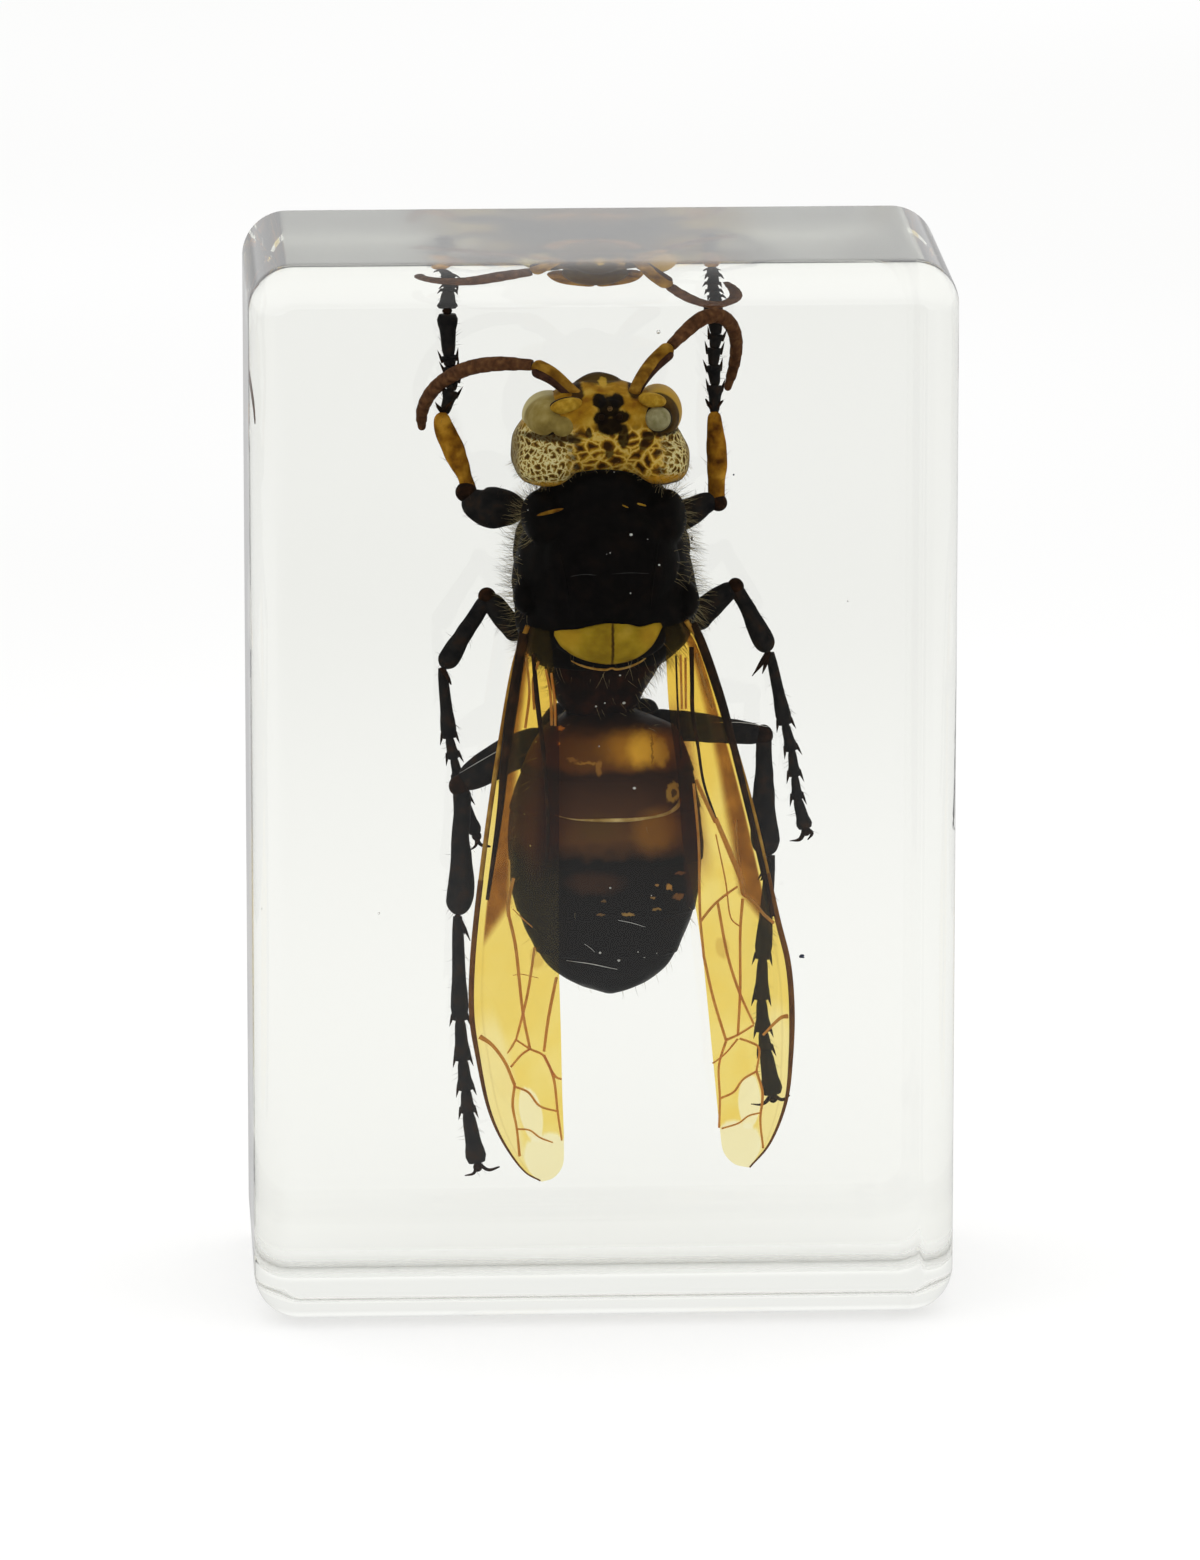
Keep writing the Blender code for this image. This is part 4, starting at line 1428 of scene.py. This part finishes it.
# Each leg: hip (coxa), thigh (femur), shin (tibia) and foot joints (tarsus) as rows of
# (x, y, z, radius), then the tips of the two claws and of the shin's spurs as (x, y, z).
LEGS = {
    "left_fore": {
        "coxa": [(-2.4, 3, 44.8, 1.3), (-4.3, 2.7, 45.7, 0.8)],
        "femur": [
            (-4.1, 2.6, 45.75, 0.7), (-5.2, 2.6, 45.8, 1.05), (-6.1, 2.6, 45.85, 1.22),
            (-7, 2.6, 46.15, 0.98), (-7.55, 2.7, 46.75, 0.6),
        ],
        "tibia": [
            (-7.35, 2.7, 46.6, 0.5), (-7.6, 2.8, 47.5, 0.42), (-7.95, 2.9, 48.4, 0.56),
            (-8.45, 3.1, 49.6, 0.64), (-8.85, 3.3, 50.6, 0.52), (-8.85, 3.4, 51.3, 0.36),
        ],
        "tarsus": [
            (-8.75, 3.6, 51.2, 0.36), (-8.35, 3.7, 52.5, 0.46), (-8.3, 3.7, 53.3, 0.46),
            (-8.42, 3.7, 53.9, 0.46), (-8.5, 3.7, 54.5, 0.5), (-8.58, 3.7, 56.9, 0.6),
        ],
        "claws": [(-9.3, 3.5, 58.3), (-7.9, 3.5, 58.4)], "spurs": [(-9.3, 3.4, 51.9), (-8.2, 3.2, 52)],
    },
    "right_fore": {
        "coxa": [(2.6, 3, 44.4, 1.3), (4.2, 2.7, 45, 0.9)],
        "femur": [(4, 2.5, 45, 0.9), (5.2, 2.6, 45.5, 0.85), (6.1, 2.7, 45.95, 0.62), (6.8, 2.8, 46, 0.5)],
        "tibia": [
            (6.75, 2.8, 45.8, 0.5), (6.7, 2.9, 46.96, 0.46), (6.74, 3.1, 48.4, 0.6),
            (6.66, 3.3, 49.86, 0.5), (6.58, 3.5, 51.2, 0.33),
        ],
        "tarsus": [
            (6.6, 3.6, 51.1, 0.3), (6.66, 3.8, 52.65, 0.46), (6.55, 3.8, 53.8, 0.46),
            (6.6, 3.8, 54.8, 0.46), (6.72, 3.8, 55.6, 0.46), (6.5, 3.8, 57.3, 0.56),
        ],
        "claws": [(5.7, 3.6, 58.3), (7.3, 3.6, 58.3)], "spurs": [(6.1, 3.5, 51.9), (7.1, 3.5, 51.8)],
    },
    "left_mid": {
        "coxa": [(-2.6, 3.6, 37.9, 1.2), (-4.4, 2.8, 38.4, 0.8)],
        "femur": [
            (-4.3, 2.5, 38.3, 0.75), (-5.2, 2.5, 39.2, 0.68), (-6, 2.5, 40.2, 0.62),
            (-6.4, 2.5, 40.75, 0.48),
        ],
        "tibia": [
            (-6.3, 2.5, 40.65, 0.44), (-7.73, 2.5, 38.5, 0.5), (-8.52, 2.6, 37.2, 0.6),
            (-8.95, 2.7, 36.55, 0.5),
        ],
        "tarsus": [
            (-8.95, 2.9, 36.5, 0.42), (-8.55, 3, 32.4, 0.46), (-8.3, 3.2, 31.2, 0.4), (-8, 3.4, 29.9, 0.38),
            (-7.65, 3.6, 28.6, 0.38), (-7.05, 3.8, 26.7, 0.42),
        ],
        "claws": [(-6.2, 3.7, 25.9), (-7.5, 3.9, 25.6)], "spurs": [(-8.45, 2.4, 35.6), (-8.75, 2.9, 35.4)],
    },
    "right_mid": {
        "coxa": [(3, 3.6, 38.2, 1.2), (5, 2.8, 38.9, 0.9)],
        "femur": [
            (5.1, 2.5, 38.9, 0.9), (6.17, 2.5, 39.9, 0.78), (7.2, 2.5, 40.75, 0.62), (7.8, 2.5, 41.15, 0.46)
        ],
        "tibia": [
            (7.7, 2.5, 41.2, 0.4), (8.66, 2.5, 39.5, 0.48), (9.34, 2.6, 38.1, 0.62), (9.7, 2.7, 37.3, 0.52),
        ],
        "tarsus": [
            (9.8, 2.9, 37.2, 0.42), (10.67, 3, 33, 0.46), (11.06, 3, 31.45, 0.4), (11.23, 3, 29.95, 0.38),
            (11.4, 3, 28.6, 0.36), (11.85, 3, 26.9, 0.46),
        ],
        "claws": [(10.95, 3, 26.15), (12, 3.1, 26.2)], "spurs": [(8.75, 2.5, 35.9), (9.35, 2.8, 36)],
    },
    "left_hind": {
        "coxa": [(-1.4, 3.4, 34.2, 1.1), (-3, 2.9, 32, 1.1)],
        "femur": [
            (-2.6, 2.5, 32.1, 1.15), (-4.5, 2.5, 31.75, 1.05), (-5.9, 2.5, 31.05, 1),
            (-7.2, 2.5, 30.25, 0.85), (-8, 2.5, 29.7, 0.6),
        ],
        "tibia": [
            (-7.85, 2.5, 29.6, 0.5), (-7.85, 2.5, 28.1, 0.5), (-7.95, 2.5, 26.65, 0.52),
            (-7.9, 2.5, 24.9, 0.66), (-7.93, 2.5, 23.5, 0.8), (-8.15, 2.5, 22.1, 0.66),
        ],
        "tarsus": [
            (-8.12, 2.5, 22, 0.46), (-8, 2.5, 15.9, 0.52), (-7.84, 2.5, 13.5, 0.5),
            (-7.67, 2.5, 11.75, 0.5), (-7.55, 2.5, 10.4, 0.48), (-7.04, 2.5, 7.45, 0.6),
        ],
        "claws": [(-5.75, 2.3, 7.2), (-7.75, 2.3, 6.7)], "spurs": [(-7.4, 2.2, 20.6), (-7.7, 2.6, 20.9)],
    },
    "right_hind": {
        "coxa": [(1.8, 3.4, 34.2, 1.1), (3.2, 2.9, 33, 1)],
        "femur": [
            (2.6, 2.5, 33.1, 1), (5.15, 2.5, 33, 0.88), (7.13, 2.5, 32.75, 0.76), (9.4, 2.5, 32.45, 0.56),
        ],
        "tibia": [
            (9.4, 2.5, 32.6, 0.46), (9.45, 2.5, 31.05, 0.48), (9.45, 2.5, 29.3, 0.6),
            (9.42, 2.5, 27.7, 0.73), (9.6, 2.5, 26.1, 0.8), (9.85, 2.5, 25.4, 0.62),
        ],
        "tarsus": [
            (9.85, 2.5, 25.4, 0.42), (9.4, 2.5, 19.3, 0.5), (9.34, 2.5, 16.9, 0.48), (9.45, 2.5, 15, 0.48),
            (9.6, 2.5, 13.85, 0.46), (10, 2.5, 11.3, 0.62),
        ],
        "claws": [(8.75, 2.3, 10.75), (11, 2.3, 11.25)], "spurs": [(9.1, 2.2, 24), (9.3, 2.7, 23.9)],
    },
}


def claw(root, tip, bow):
    """A thin hook from root to tip, bowed out sideways by bow mm."""
    root, tip = np.array(root), np.array(tip)
    along = tip - root
    side = np.cross(along, (0, 1, 0))
    side /= np.linalg.norm(side)
    middle = root + along * 0.55 + side * bow
    return limb([(*root, 0.15), (*middle, 0.11), (*tip, 0.03)], KNEE_BROWN, count=16, sides=10, ends="open")


def thorn_rows(joints):
    """Two sharp corners at the end of each foot segment but the last."""
    rows = []
    for start, stop in zip(joints[:-2], joints[1:-1]):
        start, end, radius = np.array(start[:3]), np.array(stop[:3]), stop[3]
        ahead = (end - start) / np.linalg.norm(end - start)
        side = np.cross(ahead, (0, 1, 0))
        for way in (-1, 1):
            root = end - ahead * 0.35 + side * way * radius * 0.75
            rows.append((root, root + ahead * 0.75 + side * way * 0.22, 0.12))
    return rows


def leg(name, parts):
    """One leg: hip, thigh, shin, knee, spurs and claws, then its foot rings, thorns and bristles."""
    femur, tibia, joints = parts["femur"], parts["tibia"], parts["tarsus"]
    fore = "fore" in name
    knee = femur[-1]
    shells = [
        limb(parts["coxa"], LEG_BLACK, count=24), limb(femur, LEG_BLACK, flat=0.8, count=50, sides=24),
        limb(tibia, AMBER if fore else LEG_BLACK, flat=0.8, count=50, sides=24),
        ball(knee[:3], (knee[3] * 1.02, knee[3] * 0.9, knee[3] * 1.05), KNEE_BROWN, rings=16, sides=24),
    ]
    ankle = np.array(tibia[-1][:3])
    for tip in parts["spurs"]:
        shells.append(claw(ankle, tip, 0.03))
    foot = np.array(joints[-1][:3])
    heading = foot - np.array(joints[-2][:3])
    for tip in parts["claws"]:
        turn = np.cross(heading, np.array(tip) - foot)[1]
        shells.append(claw(foot, tip, 0.3 if turn > 0 else -0.3))
    shells.append(ball(foot + heading * 0.1, (0.28, 0.2, 0.3), KNEE_BROWN, rings=12, sides=16))
    upper = roughened(mesh_of(f"{name}_leg", shells), 0.8, 0.05, 7)
    place(upper, "black_cuticle")

    segments = [(start[:3], stop[:3], stop[3]) for start, stop in zip(joints, joints[1:])]
    feet = grown(
        f"{name}_tarsus", seeds("tarsus_seeds", segments), TARSOMERES, {"Sides": 14, "Material": LEG_BLACK},
    )
    feet.set_sharp_from_angle(angle=math.radians(60))
    place(feet, "black_cuticle")
    thorns = grown(
        f"{name}_tarsal_thorns", seeds("thorn_seeds", thorn_rows(joints)), THORNS,
        {"Sides": 7, "Material": KNEE_BROWN},
    )
    place(thorns, "black_cuticle")
    for skin_mesh, tag, density in ((upper, "leg", 1.6), (feet, "foot", 2.6)):
        copy = skin_mesh.copy()
        mark_hairy(copy, lambda place_mm, normal: 1.0 if abs(place_mm.x) > 5.4 else 0.15)
        hairs = grown(
            f"{name}_{tag}_bristles", copy, HAIRS,
            {
                "Hairs per mm2": density, "Length": 0.55 * MM, "Root Radius": 0.014 * MM,
                "Lean": (0.0, 0.0, 0.7 if fore else -0.7), "Seed": 11, "Material": DARK_HAIR,
            },
        )
        place(hairs, "bristle")


for name, parts in LEGS.items():
    leg(name, parts)

# ---- Hairs, dust and small things in the resin ----


def body_hairs():
    """Long soft hairs on the flanks of the thorax and behind it, short ones on head and gaster."""
    for name, mesh, rule, density, length, lean, seed in (
        ("thorax_hairs", thorax_mesh, lambda p, n: 1.0 if n.y > -0.45 else 0.0, 11, 1.25, -0.1, 3),
        ("propodeum_hairs", propodeum_mesh, lambda p, n: 1.0 if n.y > -0.6 else 0.1, 6, 0.9, -0.3, 4),
        ("gaster_hairs", gaster_mesh, lambda p, n: 1.0 if n.y > -0.5 else 0.05, 1.2, 0.7, -0.8, 5),
        ("head_hairs", head_mesh, lambda p, n: 1.0 if p.z < 48.6 and n.z < 0.2 else 0.0, 6, 0.5, -0.4, 6),
    ):
        copy = mesh.copy()
        mark_hairy(copy, rule)
        for tone, share, turn in ((PALE_HAIR, 0.6, 0), (DARK_HAIR, 0.4, 50)):
            hairs = grown(
                f"{name}_{tone.name.split('_')[0]}", copy, HAIRS,
                {
                    "Hairs per mm2": density * share, "Length": length * MM, "Root Radius": 0.012 * MM,
                    "Lean": (0.0, 0.0, lean), "Seed": seed + turn, "Material": tone,
                },
            )
            place(hairs, "bristle")


body_hairs()


def femur_gleams():
    """Painted highlights: thin pale lines along the hind thighs, where the skin has parted from the resin.
    """
    paths = [
        [(-8, 1.55, 30.55, 0.008), (-6.3, 1.5, 31.55, 0.02), (-4.6, 1.5, 32.5, 0.008)],
        [(6.3, 1.6, 33.35, 0.008), (8.2, 1.7, 33.3, 0.022), (9.75, 1.9, 33, 0.012)],
    ]
    draw_lines("femur_gleams", [spline(path, 16) for path in paths], DUST_AND_GLEAM, "bristle")


femur_gleams()


def dust():
    """White grains that were on the insect when it was cast."""
    for name, mesh, seed in (("thorax", thorax_mesh, 21), ("gaster", gaster_mesh, 8)):
        grains = grown(
            f"{name}_dust", mesh, SPECKS,
            {"Specks per mm2": 0.05, "Size": 0.06 * MM, "Seed": seed, "Material": DUST_AND_GLEAM},
        )
        place(grains, "bristle")
    # Each grain as (x, z, radius).
    bits = [
        (1.6, 45.1, 0.09), (3.2, 43.3, 0.06), (1.05, 36.7, 0.06), (0.2, 35, 0.05), (1.3, 34.95, 0.1),
        (-0.3, 34.8, 0.06), (1.82, 30.3, 0.09), (-0.1, 20.55, 0.08), (0.98, 20.05, 0.09), (0.45, 24.5, 0.06)
    ]
    shells = []
    for x, z, size in bits:
        under = THORAX if z > 37.5 else PROPODEUM if z > 34.0 else GASTER_SKIN
        spot = (x, under.depth(x, z, 0.03), z)
        shells.append(ball(spot, (size, size, size * 0.8), DUST_AND_GLEAM, rings=8, sides=12))
    place(mesh_of("white_grains", shells), "bristle")


dust()


def trapped_bits():
    """Tiny bubbles and a blue-black grain that lie free in the resin."""
    bubbles = [
        ball((5.14, -3, 44.66), (0.12, 0.12, 0.14), AIR, rings=16, sides=20),
        ball((3, -8.2, 57.2), (0.12, 0.12, 0.12), AIR, rings=16, sides=20),
        ball((-12.6, 4, 22), (0.07, 0.07, 0.07), AIR, rings=12, sides=16),
        ball((14.2, 2, 40.3), (0.06, 0.06, 0.06), AIR, rings=12, sides=16),
    ]
    place(mesh_of("air_bubbles", bubbles), "clear_resin")
    grit = [
        ball((11.4, -3, 20.3), (0.16, 0.08, 0.1), GRIT, turn=25, rings=10, sides=14),
        ball((11.5, -3, 20.22), (0.09, 0.06, 0.05), GRIT, rings=8, sides=12),
        ball((7.45, -3, 48.33), (0.05, 0.05, 0.05), GRIT, rings=8, sides=12),
    ]
    place(roughened(mesh_of("trapped_grit", grit), 0.1, 0.03, 9), "bristle")


trapped_bits()

# ---- Light table, light and camera ----

VIEW_DISTANCE = 642.9
VIEW_AZIMUTH = -2.756
VIEW_ELEVATION = 12.573
VIEW_TARGET = (-0.373, -11, 31.9)
LENS = 263.1


def table():
    """A light table. Mirror-like reflections skip it, as if a black flag kept its glare off
    the front of the block."""
    mesh = bpy.data.meshes.new("light_table")
    # In metres. The drop keeps the sheet clear of the block's underside.
    near, far, wide, drop = -3, 6, 4, -0.00005
    corners = [(-wide, near, drop), (wide, near, drop), (wide, far, drop), (-wide, far, drop)]
    mesh.from_pydata(corners, [], [(0, 1, 2, 3)])
    mesh.materials.append(light_table())
    piece = bpy.data.objects.new("light_table", mesh)
    bpy.context.scene.collection.objects.link(piece)
    piece.visible_glossy = False


def studio_light():
    """A white surround, a little brighter higher up. Below the horizon it stands in for the
    table, which mirror-like reflections skip: light grey behind and at the sides, and in front
    dark but for its lowest part, which veils the lower half of the block."""
    world = bpy.data.worlds.new("white_surround")
    bpy.context.scene.world = world
    world.use_nodes = True
    tree = world.node_tree
    tree.nodes.clear()
    way = add(tree, "ShaderNodeTexCoord").outputs["Generated"]
    axes = add(tree, "ShaderNodeSeparateXYZ", {"Vector": way}).outputs
    above = ramp_over(tree, axes["Z"], -0.06, 0)
    sides = ramp_over(tree, axes["Y"], -0.85, -0.4)
    veil = ramp_over(tree, axes["Z"], -0.2, -0.235)
    front = add(tree, "ShaderNodeMapRange", {"Value": veil, "To Min": 0.04, "To Max": 0.6})
    ground = add(tree, "ShaderNodeMix", {0: sides, 2: front, 3: 0.62})
    rising = ramp_over(tree, axes["Z"], 0.24, 0.5)
    sky = add(tree, "ShaderNodeMapRange", {"Value": rising, "To Min": 0.96, "To Max": 1.15})
    strength = add(tree, "ShaderNodeMix", {0: above, 2: ground, 3: sky})
    glow = add(tree, "ShaderNodeBackground", {"Color": (1, 1, 1, 1), "Strength": strength})
    add(tree, "ShaderNodeOutputWorld", {"Surface": glow})


def camera():
    """A long lens, level with the viewing face and a little above it."""
    lens = bpy.data.cameras.new("view")
    lens.lens = LENS
    lens.clip_end = 20.0
    view = bpy.data.objects.new("view", lens)
    azimuth, elevation = math.radians(VIEW_AZIMUTH), math.radians(VIEW_ELEVATION)
    back = Vector(
        (
            math.sin(azimuth) * math.cos(elevation), -math.cos(azimuth) * math.cos(elevation),
            math.sin(elevation),
        )
    )
    view.location = (Vector(VIEW_TARGET) + back * VIEW_DISTANCE) * MM
    view.rotation_euler = back.to_track_quat("Z", "Y").to_euler()
    bpy.context.scene.collection.objects.link(view)
    bpy.context.scene.camera = view


table()
studio_light()
camera()
scene = bpy.context.scene
scene.view_settings.view_transform = "Standard"
# Light crosses the block's faces many times.
BOUNCES = 24
scene.cycles.max_bounces = BOUNCES
scene.cycles.transmission_bounces = BOUNCES
scene.cycles.transparent_max_bounces = BOUNCES
